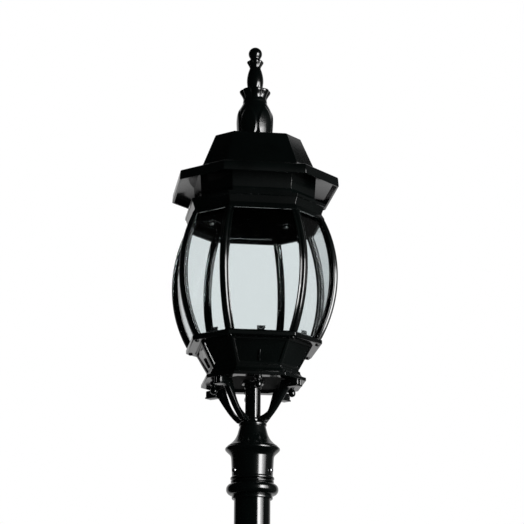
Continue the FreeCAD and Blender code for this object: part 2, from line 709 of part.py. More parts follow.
def pane(name, turn, angle):
    """Bent glass pane between two ribs, square to its face's normal."""
    part = new_part(name, CAGE, turn)
    gap = "(Dims.rib_web / 2 + Dims.pane_gap)"
    tip = f"{gap} / sin({angle})"
    far = f"({RING_CORNER} + 60)"
    half = f"({far} - {tip}) * tan({angle})"
    rise = PANE_HEIGHT
    straight(part, "XY_Plane", [(tip, "0"), (far, "-" + half), (far, half)], rise)
    foot = f"(Dims.rib_foot_radius - Dims.glass_inset) * cos({angle})"
    lean = "Dims.pane_lap * Dims.rib_lean"
    head = f"({RIB_HEAD} - Dims.glass_inset - {lean}) * cos({angle})"
    bow = f"Dims.cage_bulge * {PANE_HEIGHT} / Dims.cage_height * cos({angle})"
    width = "4 * Dims.brim_radius"
    glass = "Dims.glass_thickness"
    beyond = f"{far} + 5"
    outside = [(foot, "0"), (beyond, "0"), (beyond, rise), (head, rise, "-" + bow)]
    inside = [("0", "0"), (f"{foot} - {glass}", "0", bow), (f"{head} - {glass}", rise), ("0", rise)]
    straight(part, "XZ_Plane", outside, width, cut=True, both=True)
    straight(part, "XZ_Plane", inside, width, cut=True, both=True)


def pane_clips():
    """Eight angle clips on the ring, one behind the foot of each pane."""
    part = new_part("pane_clips", CAGE)
    for angle, turn in (("Dims.corner_angle", 0), (NARROW_ANGLE, 45)):
        outer = f"(Dims.rib_foot_radius - Dims.glass_inset) * cos({angle})"
        face = f"{outer} - Dims.glass_thickness - Dims.slip_fit"
        leg = f"{face} - 1.5"
        clip = straight(part, "XZ_Plane", [
            (f"{face} - 7", "0"), (face, "0"), (face, "9"), (leg, "9"), (leg, "1.5"),
            (f"{face} - 7", "1.5")], "14", both=True, turn=turn)
        repeat(part, [clip], 4)


def top_ring():
    """Eight-sided band over the ribs, with a web inside and four lugs under the roof's pillars."""
    part = new_part("top_ring", TOP_RING)
    waist = "Dims.top_ring_waist"
    head = "Dims.top_ring_height"
    foot_radius = RIB_HEAD
    waist_radius = f"({RIB_HEAD} - Dims.top_ring_waist_step)"
    head_radius = f"{RIB_HEAD} + Dims.top_ring_flare"
    inner_foot = octagon(f"{foot_radius} - Dims.top_ring_wall")
    inner_waist = octagon(f"{waist_radius} - Dims.top_ring_wall")
    web = "Dims.top_ring_web"
    tapered(part, octagon(foot_radius), octagon(waist_radius), "0", waist)
    tapered(part, octagon(waist_radius), octagon(head_radius), waist, head)
    tapered(part, inner_foot, inner_waist, "0", waist, cut=True)
    tapered(part, inner_waist, inner_waist, waist, f"{head} - {web}", cut=True)
    straight(part, "XY_Plane", octagon(f"{waist_radius} - 16"), web, f"{head} - {web}", cut=True)
    lug_outline = box("Dims.roof_screw_circle - 12", f"{head} - {web}", f"{waist_radius} - 12", head)
    lug = straight(part, "XZ_Plane", lug_outline, "24", both=True, turn=45)
    screw = hole(part, "Dims.medium_screw + 0.5", web, f"{head} - {web}", "Dims.roof_screw_circle", 45)
    repeat(part, [lug, screw], 4)


def lantern_throat():
    """Eight-sided upstand on the top ring, round the pillars and up into the roof's cove."""
    part = new_part("lantern_throat", f"{TOP_RING} + Dims.top_ring_height")
    pillars = "(Dims.roof_screw_circle + Dims.pillar_radius + Dims.throat_gap)"
    bore = f"{pillars} / cos({NARROW_ANGLE})"
    foot = f"{bore} + Dims.throat_wall"
    head = f"{foot} + Dims.throat_flare"
    under = "(Dims.skirt_height + Dims.cove_height - Dims.roof_wall - 7 * Dims.throat_gap)"
    rise = f"Dims.roof_gap + {under}"
    tapered(part, octagon(foot), octagon(head), "0", rise)
    tapered(part, octagon(bore), octagon(f"{bore} + Dims.throat_flare"), "0", rise, cut=True)


# Roof ---------------------------------------------------------------------------------------

def roof_cap():
    """Hollow eight-sided roof with a brim, standing on four pillars."""
    part = new_part("roof_cap", ROOF)
    wall = "Dims.roof_wall"
    skirt = "Dims.skirt_height"
    cove = f"({skirt} + Dims.cove_height)"
    top = f"({cove} + Dims.roof_rise)"
    brim = "Dims.brim_radius"
    rim = "Dims.brim_head_radius"
    foot = "Dims.roof_foot_radius"
    head = "Dims.roof_head_radius"
    steep = "Dims.roof_angle"
    tapered(part, octagon(brim), octagon(rim), "0", skirt)
    tapered(part, octagon(rim), octagon(foot, steep), skirt, cove)
    tapered(part, octagon(foot, steep), octagon(head, steep), cove, top)
    low = f"{skirt} - {wall}"
    shoulder = f"{cove} - {wall}"
    tapered(part, octagon(f"{brim} - {wall}"), octagon(f"{rim} - {wall}"), "0", low, cut=True)
    tapered(part, octagon(f"{rim} - {wall}"), octagon(f"{foot} - {wall}", steep), low, shoulder, cut=True)
    tapered(part, octagon(f"{foot} - {wall}", steep), octagon(f"{head} - {wall}", steep), shoulder,
            f"{top} - {wall}", cut=True)
    hole(part, "Dims.finial_stud_radius + 0.2", wall, f"{top} - {wall}")


def roof_pillars():
    """Four pillars that stand the roof on the top ring's lugs, and take its screws."""
    part = new_part("roof_pillars", f"{TOP_RING} + Dims.top_ring_height + Dims.seat_gap")
    reach = "Dims.roof_screw_circle"
    out = "Dims.pillar_radius"
    slope = "(Dims.roof_foot_radius - Dims.roof_head_radius) / Dims.roof_rise"
    edge = "(Dims.roof_foot_radius - 0.3 * Dims.roof_wall) * cos(45 - Dims.roof_angle)"
    shoulder = "(Dims.roof_gap - Dims.seat_gap + Dims.skirt_height + Dims.cove_height - Dims.roof_wall)"
    length = f"{shoulder} + ({edge} - {reach} - {out}) / ({slope})"
    pillar = turned(part, box("0", "0", out, length), shift=reach, turn=45)
    thread = hole(part, "Dims.medium_screw + 0.3", "16", shift=reach, turn=45)
    repeat(part, [pillar, thread], 4)


def finial():
    """Turned finial with a bulb, a spindle, two petal collars and a ball."""
    part = new_part("finial", ROOF_TOP)
    bulb = "Dims.finial_radius"
    top = "Dims.finial_height"
    turned(part, [
        ("0", "0"), (f"{bulb} - 3.6", "0", "0.1"), (bulb, f"{top} - 132", "0.2"),
        (f"{bulb} - 7", f"{top} - 106", "-0.1"), (f"{bulb} - 12", f"{top} - 98"),
        (f"{bulb} - 11.5", f"{top} - 95", "-0.1"), (f"{bulb} - 5.6", f"{top} - 86", "0.4"),
        (f"{bulb} - 6.5", f"{top} - 80"), (f"{bulb} - 19.5", f"{top} - 77", "0.1"),
        (f"{bulb} - 18", f"{top} - 64", "0.12"), (f"{bulb} - 23", f"{top} - 40"),
        (f"{bulb} - 22", f"{top} - 36"), (f"{bulb} - 18", f"{top} - 29", "0.4"),
        (f"{bulb} - 20", f"{top} - 25"), (f"{bulb} - 24", f"{top} - 22"),
        (f"{bulb} - 25.2", f"{top} - 20.6", "0.65"), ("1.2", top), ("0", top)])
    hole(part, "Dims.finial_stud_radius", "30")


def finial_stud():
    """Stud that ties the finial to the roof."""
    part = new_part("finial_stud", ROOF_TOP)
    turned(part, box("0", "-(Dims.roof_wall + 10)", "Dims.finial_stud_radius", "28"))


def finial_nut():
    """Nut and washer on the stud, under the roof's top."""
    part = new_part("finial_nut", ROOF_TOP)
    low = "-(Dims.roof_wall + 8)"
    straight(part, "XY_Plane", hexagon("Dims.finial_stud_radius + 3.5"), "6.5", low)
    turned(part, box("0", "-(Dims.roof_wall + 1.5)", "Dims.finial_stud_radius + 5", "-Dims.roof_wall"))
    hole(part, "Dims.finial_stud_radius", "8", low)


def build():
    """Every sub-part, from the ground up."""
    base_plate()
    lower_column()
    base_cover()
    radial_screws("cover_screws", "Dims.plate_thickness + Dims.cover_height - 12",
                  f"{COLUMN_RADIUS} + Dims.loose_gap + Dims.seat_gap",
                  f"{COLUMN_RADIUS} + Dims.loose_gap + Dims.cover_wall + 2", 3)
    column_collar()
    radial_screws("collar_screws", "Dims.column_height + Dims.collar_height - 6",
                  "Dims.tube_radius + Dims.slip_fit", "Dims.tube_radius + 6", 3)
    upper_tube()
    post_ring()
    post_fitter()
    radial_screws("fitter_screws", f"{FITTER} + Dims.set_screw_height", "Dims.tube_radius + Dims.seat_gap",
                  "Dims.tube_radius + Dims.fitter_wall + 1", 3, "Dims.set_screw_turn")
    stem_tube()
    stem_nuts()
    for number in range(1, 5):
        arm(number)
    upright_screws("arm_screws", f"{TRAY_BASE} - 9", "Dims.arm_screw_circle", "19", "3", "45")
    ball_drops()
    tray_base()
    tray_body()
    lampholder_strip()
    strip_screws()
    lampholder()
    holder_sleeve()
    holder_contact()
    lamp_cap()
    lamp_bulb()
    terminal_block()
    earth_screw()
    cable_bush()
    bottom_ring()
    hanging_screws("ring_screws", CAGE, "Dims.ring_screw_circle", "Dims.ring_thickness + 4", "2.4", "45")
    rib_screws(1, "Dims.corner_angle")
    rib_screws(2, "-Dims.corner_angle")
    for number in range(1, 9):
        cage_rib(number)
    for number in range(1, 5):
        pane(f"wide_pane_{number}", f"{90 * number - 90}", "Dims.corner_angle")
        pane(f"narrow_pane_{number}", f"{90 * number - 45}", NARROW_ANGLE)
    pane_clips()
    top_ring()
    lantern_throat()
    roof_cap()
    roof_pillars()
    upright_screws("roof_screws", RING_WEB, "Dims.roof_screw_circle", "20", "4", "45")
    finial()
    finial_stud()
    finial_nut()


def check_model():
    """Stops if any feature failed or any sub-part's shape is missing or broken."""
    doc.recompute()
    for item in doc.Objects:
        if "Invalid" in item.State or "Error" in item.State:
            raise RuntimeError(f"{item.Label} did not compute: {item.State}")
    for part in sub_parts:
        if part.Shape.isNull() or not part.Shape.isValid() or part.Shape.Volume <= 0:
            raise RuntimeError(f"{part.Label} has no valid shape")


def write_parts():
    """One STEP file for each sub-part."""
    os.makedirs("parts", exist_ok=True)
    for part in sub_parts:
        part.Shape.exportStep(f"parts/{part.Label}.step")


build()
check_model()
write_parts()
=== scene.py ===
"""Street lamp post: an eight-sided glass lantern on a round black post, dressed round its frame."""
import math

import bmesh
import bpy
from bpy.props import FloatProperty, FloatVectorProperty, IntProperty, PointerProperty
from mathutils import Matrix, Vector


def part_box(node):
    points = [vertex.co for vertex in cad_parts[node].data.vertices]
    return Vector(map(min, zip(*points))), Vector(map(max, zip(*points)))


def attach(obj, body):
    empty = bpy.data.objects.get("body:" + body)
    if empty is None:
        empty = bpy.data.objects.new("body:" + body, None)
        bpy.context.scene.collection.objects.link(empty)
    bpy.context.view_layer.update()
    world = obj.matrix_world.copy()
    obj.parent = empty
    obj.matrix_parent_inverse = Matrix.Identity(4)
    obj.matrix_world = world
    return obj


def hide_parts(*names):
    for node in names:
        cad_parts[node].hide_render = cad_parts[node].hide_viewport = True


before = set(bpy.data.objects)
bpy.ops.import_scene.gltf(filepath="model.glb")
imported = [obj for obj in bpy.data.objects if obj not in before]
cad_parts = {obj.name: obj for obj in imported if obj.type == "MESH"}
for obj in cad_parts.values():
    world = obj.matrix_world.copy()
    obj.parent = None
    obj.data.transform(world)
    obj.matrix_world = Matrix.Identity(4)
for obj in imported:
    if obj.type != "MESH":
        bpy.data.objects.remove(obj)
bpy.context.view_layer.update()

bl_info = {
    "name": "Street Lamp Post",
    "version": (1, 0, 0),
    "blender": (4, 5, 0),
    "location": "View3D > Sidebar > Lamp Post",
    "description": "Builds the lantern, the post and the studio round the packed frame",
    "category": "Object",
}

MM = 0.001
QUARTERS = (0, 90, 180, 270)

# Angle in degrees from the middle of a wide side to its corner: tray and cage, then the roof above its cove.
CORNER = 27.0
ROOF_CORNER = 31.5

# Radius of the circle that the ball drops and their bosses stand on, and the ribs' height, in millimetres.
DROP_CIRCLE = 66.0
RIB_HEIGHT = 206.0
BOW_STEPS = 28


def low(node):
    """Height of a frame node's lowest point, in millimetres."""
    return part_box(node)[0].z / MM


def high(node):
    """Height of a frame node's highest point, in millimetres."""
    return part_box(node)[1].z / MM


def reach(node):
    """Half of a frame node's width, in millimetres."""
    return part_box(node)[1].x / MM


# Sizes and colours that a user may change ---------------------------------------------------

def length(name, about, default):
    """A size in metres, given in millimetres."""
    return FloatProperty(name=name, description=about, default=default * MM, min=0.0, unit="LENGTH",
                         subtype="DISTANCE", precision=5)


def colour(name, about, default):
    """A linear colour."""
    return FloatVectorProperty(name=name, description=about, default=default, min=0.0, max=1.0, size=3,
                               subtype="COLOR")


def share(name, about, default):
    """A share from 0 to 1."""
    return FloatProperty(name=name, description=about, default=default, min=0.0, max=1.0, subtype="FACTOR")


class LampPostSizes(bpy.types.PropertyGroup):
    """Sizes of the post's mouldings."""
    bead: length("Bead", "Rounding of the small turned beads", 1.6)
    steps: IntProperty(name="Turning steps", description="Steps round a turned piece", default=72, min=24)


class LampLanternSizes(bpy.types.PropertyGroup):
    """Sizes of the lantern's own details."""
    glass: length("Glass", "Thickness of a pane", 4.0)
    glass_bevel: length("Glass bevel", "Width of the ground bevel along a pane's sides", 2.4)
    rib_bead: length("Rib bead", "Radius of the round bead down each rib", 4.2)
    panel_margin: length("Panel margin", "Width of the frame round the tray's sunk panels", 6.0)
    panel_depth: length("Panel depth", "Depth of the tray's sunk panels", 2.2)
    cove: length("Cove", "Rounding of the hollow between the roof and its brim", 7.0)


class LampFinialSizes(bpy.types.PropertyGroup):
    """Relief of the finial."""
    petals: IntProperty(name="Petals", description="Petals round each collar", default=8, min=4)
    petal_depth: length("Petal depth", "How far the petals stand proud of the gaps", 3.0)
    leaves: IntProperty(name="Leaves", description="Leaves round the bulb", default=6, min=3)
    leaf_depth: length("Leaf depth", "How far the leaves stand proud of the bulb", 2.4)


class LampFinishColours(bpy.types.PropertyGroup):
    """Colours of the finishes."""
    paint: colour("Black paint", "Gloss paint on the tubes and the lantern", (0.0005, 0.0010, 0.0009))
    paint_worn: colour("Thin paint", "Paint rubbed thin on the edges", (0.006, 0.0072, 0.007))
    dust: colour("Dust", "Fine dust on what faces up", (0.016, 0.018, 0.0175))
    glass: colour("Glass", "Tint of the clear panes", (0.85, 0.89, 0.895))
    opal: colour("Opal glass", "Glass of the lamp", (0.86, 0.85, 0.81))
    steel: colour("Plated steel", "Screws, nuts and the strip", (0.56, 0.57, 0.58))
    nickel: colour("Nickel", "Cap of the lamp", (0.66, 0.64, 0.60))
    brass: colour("Brass", "Contact and threaded sleeve", (0.70, 0.50, 0.20))
    ceramic: colour("Ceramic", "Glazed body of the lampholder", (0.82, 0.80, 0.75))
    plastic: colour("Plastic", "Terminal block", (0.78, 0.78, 0.74))
    rubber: colour("Rubber", "Bush in the stem", (0.018, 0.018, 0.018))
    gloss: share("Gloss", "Roughness of the fresh paint", 0.11)


class LampStudio(bpy.types.PropertyGroup):
    """Camera, light and floor."""
    distance: length("Camera distance", "From the post's axis to the camera", 3262.4)
    eye: length("Camera drop", "From the finial's tip down to the camera", 1293.9)
    turn: FloatProperty(name="Camera turn", description="Turn of the camera about the post",
                        default=math.radians(7.4667), subtype="ANGLE")
    pitch: FloatProperty(name="Camera pitch", description="Upward tilt of the camera", default=0.27034,
                         subtype="ANGLE")
    yaw: FloatProperty(name="Camera yaw", description="Sideways aim of the camera", default=0.00424,
                       subtype="ANGLE")
    roll: FloatProperty(name="Camera roll", description="Lean of the camera", default=0.0059,
                        subtype="ANGLE")
    lens: FloatProperty(name="Lens", description="Focal length in millimetres", default=136.57, min=1.0)
    key: FloatProperty(name="Key light", description="Brightness of the tall soft light's middle",
                       default=18.0, min=0.0)
    backdrop: FloatProperty(name="Backdrop", description="Brightness of the white backdrop", default=1.0,
                            min=0.0)


SETTINGS = {"lamp_post": LampPostSizes, "lamp_lantern": LampLanternSizes, "lamp_finial": LampFinialSizes,
            "lamp_finishes": LampFinishColours, "lamp_studio": LampStudio}


def settings(name):
    """One group of the scene's settings."""
    return getattr(bpy.context.scene, name)


def mm(size):
    """A size of the settings, in millimetres."""
    return size / MM


# Finishes -----------------------------------------------------------------------------------

def new_group(name, inputs, outputs):
    """An empty node group with number inputs and named outputs."""
    group = bpy.data.node_groups.new(name, "ShaderNodeTree")
    for label, default in inputs:
        socket = group.interface.new_socket(name=label, in_out="INPUT", socket_type="NodeSocketFloat")
        socket.default_value = default
    for label in outputs:
        group.interface.new_socket(name=label, in_out="OUTPUT", socket_type="NodeSocketFloat")
    return group, group.nodes.new("NodeGroupInput"), group.nodes.new("NodeGroupOutput")


def math_node(tree, operation, first, second=None, clamp=False):
    """A Math node; each input is a socket or a number."""
    node = tree.nodes.new("ShaderNodeMath")
    node.operation = operation
    node.use_clamp = clamp
    for socket, source in zip(node.inputs, (first, second)):
        if source is None:
            continue
        if isinstance(source, (int, float)):
            socket.default_value = source
        else:
            tree.links.new(source, socket)
    return node.outputs[0]


def noise(tree, vector, scale, detail, roughness=0.5):
    """A Noise texture's value on Object coordinates; the scale is a number or a socket."""
    node = tree.nodes.new("ShaderNodeTexNoise")
    node.inputs["Detail"].default_value = detail
    node.inputs["Roughness"].default_value = roughness
    tree.links.new(vector, node.inputs["Vector"])
    if isinstance(scale, (int, float)):
        node.inputs["Scale"].default_value = scale
    else:
        tree.links.new(scale, node.inputs["Scale"])
    return node.outputs["Fac"]


def ramp(tree, value, start, end):
    """A smooth step from 0 at start to 1 at end."""
    node = tree.nodes.new("ShaderNodeMapRange")
    node.interpolation_type = "SMOOTHSTEP"
    node.inputs["From Min"].default_value = start
    node.inputs["From Max"].default_value = end
    tree.links.new(value, node.inputs["Value"])
    return node.outputs["Result"]


def object_coordinates(tree):
    """The Object coordinates."""
    return tree.nodes.new("ShaderNodeTexCoord").outputs["Object"]


def orange_peel_group():
    """Fine waviness of sprayed paint, and the grain of the casting under it."""
    group, inlet, outlet = new_group("Paint_skin", [("Peel Scale", 420.0), ("Grain Scale", 1500.0),
                                                    ("Grain Share", 0.3)], ["Height", "Mottle"])
    place = object_coordinates(group)
    peel = noise(group, place, inlet.outputs["Peel Scale"], 1.0)
    grain = noise(group, place, inlet.outputs["Grain Scale"], 4.0, 0.6)
    grain_share = math_node(group, "MULTIPLY", grain, inlet.outputs["Grain Share"])
    group.links.new(math_node(group, "ADD", peel, grain_share), outlet.inputs["Height"])
    group.links.new(noise(group, place, 14.0, 3.0), outlet.inputs["Mottle"])
    return group


def edge_wear_group():
    """Mask of the edges where paint or plating is rubbed thin."""
    group, inlet, outlet = new_group("Edge_wear", [("Amount", 0.5), ("Patch Scale", 90.0)], ["Mask"])
    place = object_coordinates(group)
    edge = ramp(group, group.nodes.new("ShaderNodeNewGeometry").outputs["Pointiness"], 0.53, 0.62)
    patch = ramp(group, noise(group, place, inlet.outputs["Patch Scale"], 5.0, 0.65), 0.42, 0.66)
    mask = math_node(group, "MULTIPLY", edge, patch)
    group.links.new(math_node(group, "MULTIPLY", mask, inlet.outputs["Amount"], True), outlet.inputs["Mask"])
    return group


def settled_dust_group():
    """Mask of the fine dust on surfaces that face up."""
    group, inlet, outlet = new_group("Settled_dust", [("Amount", 0.3), ("Speck Scale", 260.0)], ["Mask"])
    place = object_coordinates(group)
    split = group.nodes.new("ShaderNodeSeparateXYZ")
    group.links.new(group.nodes.new("ShaderNodeNewGeometry").outputs["Normal"], split.inputs[0])
    upward = ramp(group, split.outputs["Z"], 0.35, 0.98)
    speck = ramp(group, noise(group, place, inlet.outputs["Speck Scale"], 6.0, 0.7), 0.38, 0.72)
    mask = math_node(group, "MULTIPLY", upward, speck)
    group.links.new(math_node(group, "MULTIPLY", mask, inlet.outputs["Amount"], True), outlet.inputs["Mask"])
    return group


def turned_lines_group():
    """Fine rings left by a lathe, as a height and a mask."""
    group, inlet, outlet = new_group("Turned_lines", [("Line Scale", 2600.0), ("Patch Scale", 130.0)],
                                     ["Height", "Mask"])
    place = object_coordinates(group)
    stretch = group.nodes.new("ShaderNodeMapping")
    stretch.inputs["Scale"].default_value = (0.02, 0.02, 1.0)
    group.links.new(place, stretch.inputs["Vector"])
    lines = noise(group, stretch.outputs[0], inlet.outputs["Line Scale"], 2.0)
    group.links.new(lines, outlet.inputs["Height"])
    group.links.new(noise(group, place, inlet.outputs["Patch Scale"], 3.0), outlet.inputs["Mask"])
    return group


GROUP_MAKERS = {"Paint_skin": orange_peel_group, "Edge_wear": edge_wear_group,
                "Settled_dust": settled_dust_group, "Turned_lines": turned_lines_group}


def effect(tree, name, **values):
    """A node of a shared effect, made the first time it is asked for."""
    node = tree.nodes.new("ShaderNodeGroup")
    node.node_tree = bpy.data.node_groups.get(name) or GROUP_MAKERS[name]()
    for label, number in values.items():
        node.inputs[label.replace("_", " ")].default_value = number
    return node


def blend_colour(tree, mask, below, above):
    """One colour over another by a mask; a colour is a socket or three numbers."""
    node = tree.nodes.new("ShaderNodeMix")
    node.data_type = "RGBA"
    tree.links.new(mask, node.inputs["Factor"])
    colour_a, colour_b, result = node.inputs[6], node.inputs[7], node.outputs[2]
    for socket, source in ((colour_a, below), (colour_b, above)):
        if isinstance(source, bpy.types.NodeSocket):
            tree.links.new(source, socket)
        else:
            socket.default_value = (*source, 1.0)
    return result


def bump(tree, shader, height, strength, depth):
    """Gives the shader a bumped normal."""
    node = tree.nodes.new("ShaderNodeBump")
    node.inputs["Strength"].default_value = strength
    node.inputs["Distance"].default_value = depth
    tree.links.new(height, node.inputs["Height"])
    tree.links.new(node.outputs["Normal"], shader.inputs["Normal"])


def new_material(name):
    """A material with its shader; returns the material, its tree and the shader."""
    material = bpy.data.materials.new(name)
    material.use_nodes = True
    tree = material.node_tree
    return material, tree, tree.nodes["Principled BSDF"]


def painted(name, peel, grain, grain_share, roughness, wear, dust):
    """Gloss black paint on a tube or on a casting."""
    colours = settings("lamp_finishes")
    material, tree, shader = new_material(name)
    skin = effect(tree, "Paint_skin", Peel_Scale=peel, Grain_Scale=grain, Grain_Share=grain_share)
    worn = effect(tree, "Edge_wear", Amount=wear)
    dusty = effect(tree, "Settled_dust", Amount=dust)
    paler = tuple(1.7 * part for part in colours.paint)
    coat = blend_colour(tree, ramp(tree, skin.outputs["Mottle"], 0.35, 0.7), tuple(colours.paint), paler)
    coat = blend_colour(tree, worn.outputs["Mask"], coat, tuple(colours.paint_worn))
    coat = blend_colour(tree, dusty.outputs["Mask"], coat, tuple(colours.dust))
    tree.links.new(coat, shader.inputs["Base Color"])
    fresh = math_node(tree, "ADD", math_node(tree, "MULTIPLY", skin.outputs["Mottle"], 0.05),
                      roughness - 0.025)
    settled = math_node(tree, "MULTIPLY", dusty.outputs["Mask"], 0.5)
    tree.links.new(math_node(tree, "ADD", fresh, settled), shader.inputs["Roughness"])
    shader.inputs["Coat Weight"].default_value = 0.35
    shader.inputs["Coat Roughness"].default_value = 0.05
    shader.inputs["IOR"].default_value = 1.5
    bump(tree, shader, skin.outputs["Height"], 0.22, 0.00022)
    return material


def black_paint():
    """Smooth gloss paint on tube and plate."""
    return painted("Gloss_black_paint", 380.0, 1400.0, 0.12, settings("lamp_finishes").gloss, 0.25, 0.10)


def painted_casting():
    """The same paint over fine castings, with more grain."""
    return painted("Painted_casting", 260.0, 1100.0, 0.45, settings("lamp_finishes").gloss + 0.08, 0.4, 0.12)


def black_iron():
    """Thicker paint over coarse cast iron."""
    return painted("Painted_cast_iron", 180.0, 700.0, 0.8, settings("lamp_finishes").gloss + 0.06, 0.5, 0.2)


def clear_glass():
    """Clear bent glass with a faint cool tint and a slight wave."""
    material, tree, shader = new_material("Clear_bent_glass")
    shader.inputs["Base Color"].default_value = (*settings("lamp_finishes").glass, 1.0)
    shader.inputs["Transmission Weight"].default_value = 1.0
    shader.inputs["IOR"].default_value = 1.4
    dusty = effect(tree, "Settled_dust", Amount=0.5, Speck_Scale=420.0)
    smear = noise(tree, object_coordinates(tree), 9.0, 3.0)
    film = math_node(tree, "MULTIPLY", ramp(tree, smear, 0.45, 0.8), 0.02)
    tree.links.new(math_node(tree, "ADD", film, dusty.outputs["Mask"]), shader.inputs["Roughness"])
    bump(tree, shader, noise(tree, object_coordinates(tree), 9.0, 0.0), 0.05, 0.0003)
    return material


def opal_glass():
    """Milky glass of the lamp."""
    material, tree, shader = new_material("Opal_lamp_glass")
    tint = tuple(settings("lamp_finishes").opal)
    cloud = ramp(tree, noise(tree, object_coordinates(tree), 60.0, 2.0), 0.3, 0.8)
    tree.links.new(blend_colour(tree, cloud, tint, tuple(0.94 * part for part in tint)),
                   shader.inputs["Base Color"])
    shader.inputs["Subsurface Weight"].default_value = 0.35
    shader.inputs["Subsurface Radius"].default_value = (0.006, 0.006, 0.005)
    dusty = effect(tree, "Settled_dust", Amount=0.25)
    tree.links.new(math_node(tree, "ADD", dusty.outputs["Mask"], 0.12), shader.inputs["Roughness"])
    bump(tree, shader, noise(tree, object_coordinates(tree), 300.0, 2.0), 0.05, 0.0001)
    return material


def plated(name, tint, roughness, wear_colour, line_scale=2600.0):
    """Bare or plated metal with turning marks and dulled edges."""
    material, tree, shader = new_material(name)
    shader.inputs["Metallic"].default_value = 1.0
    lines = effect(tree, "Turned_lines", Line_Scale=line_scale)
    worn = effect(tree, "Edge_wear", Amount=0.6, Patch_Scale=240.0)
    dull = tuple(0.78 * part for part in tint)
    coat = blend_colour(tree, ramp(tree, lines.outputs["Mask"], 0.35, 0.7), tuple(tint), dull)
    tree.links.new(blend_colour(tree, worn.outputs["Mask"], coat, wear_colour), shader.inputs["Base Color"])
    rough = math_node(tree, "MULTIPLY_ADD", lines.outputs["Mask"], 0.22)
    rough.node.inputs[2].default_value = roughness - 0.1
    tree.links.new(rough, shader.inputs["Roughness"])
    bump(tree, shader, lines.outputs["Height"], 0.18, 0.00012)
    return material


def screw_steel():
    """Zinc-plated steel of the screws and nuts."""
    return plated("Zinc_plated_steel", settings("lamp_finishes").steel, 0.28, (0.36, 0.35, 0.33))


def spring_steel():
    """Bright rolled steel of the strip and the clips."""
    return plated("Rolled_bright_steel", settings("lamp_finishes").steel, 0.22, (0.42, 0.41, 0.39), 1200.0)


def bright_nickel():
    """Nickel plate of the lamp's cap."""
    return plated("Nickel_plate", settings("lamp_finishes").nickel, 0.17, (0.52, 0.46, 0.36))


def contact_brass():
    """Plain brass."""
    return plated("Plain_brass", settings("lamp_finishes").brass, 0.26, (0.42, 0.28, 0.10))


def moulded(name, tint, roughness, scale, depth, coat):
    """Glazed, moulded or rubber surface with its own fine skin."""
    material, tree, shader = new_material(name)
    place = object_coordinates(tree)
    cloud = ramp(tree, noise(tree, place, scale / 8, 3.0), 0.3, 0.75)
    dusty = effect(tree, "Settled_dust", Amount=0.35)
    skin = blend_colour(tree, cloud, tuple(tint), tuple(0.88 * part for part in tint))
    tree.links.new(blend_colour(tree, dusty.outputs["Mask"], skin, tuple(0.7 * part for part in tint)),
                   shader.inputs["Base Color"])
    rough = math_node(tree, "MULTIPLY_ADD", cloud, 0.12)
    rough.node.inputs[2].default_value = roughness
    tree.links.new(rough, shader.inputs["Roughness"])
    shader.inputs["Coat Weight"].default_value = coat
    bump(tree, shader, noise(tree, place, scale, 3.0), 0.2, depth)
    return material


def white_ceramic():
    """Glazed ceramic."""
    return moulded("Glazed_ceramic", settings("lamp_finishes").ceramic, 0.16, 240.0, 0.00012, 0.6)


def white_plastic():
    """Moulded plastic."""
    return moulded("Moulded_plastic", settings("lamp_finishes").plastic, 0.42, 1600.0, 0.00008, 0.0)


def black_rubber():
    """Soft black rubber."""
    return moulded("Soft_rubber", settings("lamp_finishes").rubber, 0.6, 900.0, 0.0001, 0.0)


FINISH_MAKERS = {maker.__name__: maker for maker in (
    black_paint, painted_casting, black_iron, clear_glass, opal_glass, screw_steel, spring_steel,
    bright_nickel, contact_brass, white_ceramic, white_plastic, black_rubber)}
made_finishes = {}


def finish(slot):
    """The material of one of the record's slots, made the first time it is asked for."""
    if slot not in made_finishes:
        made_finishes[slot] = FINISH_MAKERS[slot]()
    return made_finishes[slot]


# Shapes -------------------------------------------------------------------------------------

def closed_up(shape):
    """Merges doubled points and turns the faces outwards."""
    bmesh.ops.remove_doubles(shape, verts=shape.verts, dist=1e-6)
    bmesh.ops.dissolve_degenerate(shape, edges=shape.edges, dist=1e-7)
    bmesh.ops.recalc_face_normals(shape, faces=shape.faces)
    return shape


def rounded_outline(shape, points, place):
    """A closed wire. A point is (across, up) or (across, up, rounding), in millimetres."""
    corners = [shape.verts.new(place(point[0] * MM, point[1] * MM)) for point in points]
    for start, end in zip(points, points[1:] + points[:1]):
        if start[0] or end[0]:
            shape.edges.new((corners[points.index(start)], corners[points.index(end)]))
    for point, corner in zip(points, corners):
        if len(point) > 2:
            bmesh.ops.bevel(shape, geom=[corner], offset=point[2] * MM, offset_type="OFFSET",
                            segments=3 if point[2] < 1.5 else 6 if point[2] < 6 else 12, profile=0.5,
                            affect="VERTICES", material=-1, clamp_overlap=True)
    return shape


def turned(points, steps=None):
    """A turned piece from its outline of (radius, height) points."""
    shape = rounded_outline(bmesh.new(), points, lambda across, up: (across, 0, up))
    bmesh.ops.spin(shape, geom=shape.verts[:] + shape.edges[:], cent=(0, 0, 0), axis=(0, 0, 1),
                   angle=2 * math.pi, steps=steps or settings("lamp_post").steps, use_merge=True)
    return closed_up(shape)


def eight_sided(points, corner_at=lambda height: CORNER):
    """A piece with eight unequal sides: a turning of eight steps, each corner set to its own angle."""
    shape = turned(points, 8)
    for vert in shape.verts:
        radius = vert.co.xy.length
        eighth = round(math.degrees(math.atan2(vert.co.y, vert.co.x)) / 45)
        corner = corner_at(vert.co.z / MM)
        angle = math.radians(90 * (eighth // 2) + (corner if eighth % 2 else -corner))
        vert.co.x = radius * math.cos(angle)
        vert.co.y = radius * math.sin(angle)
    return shape


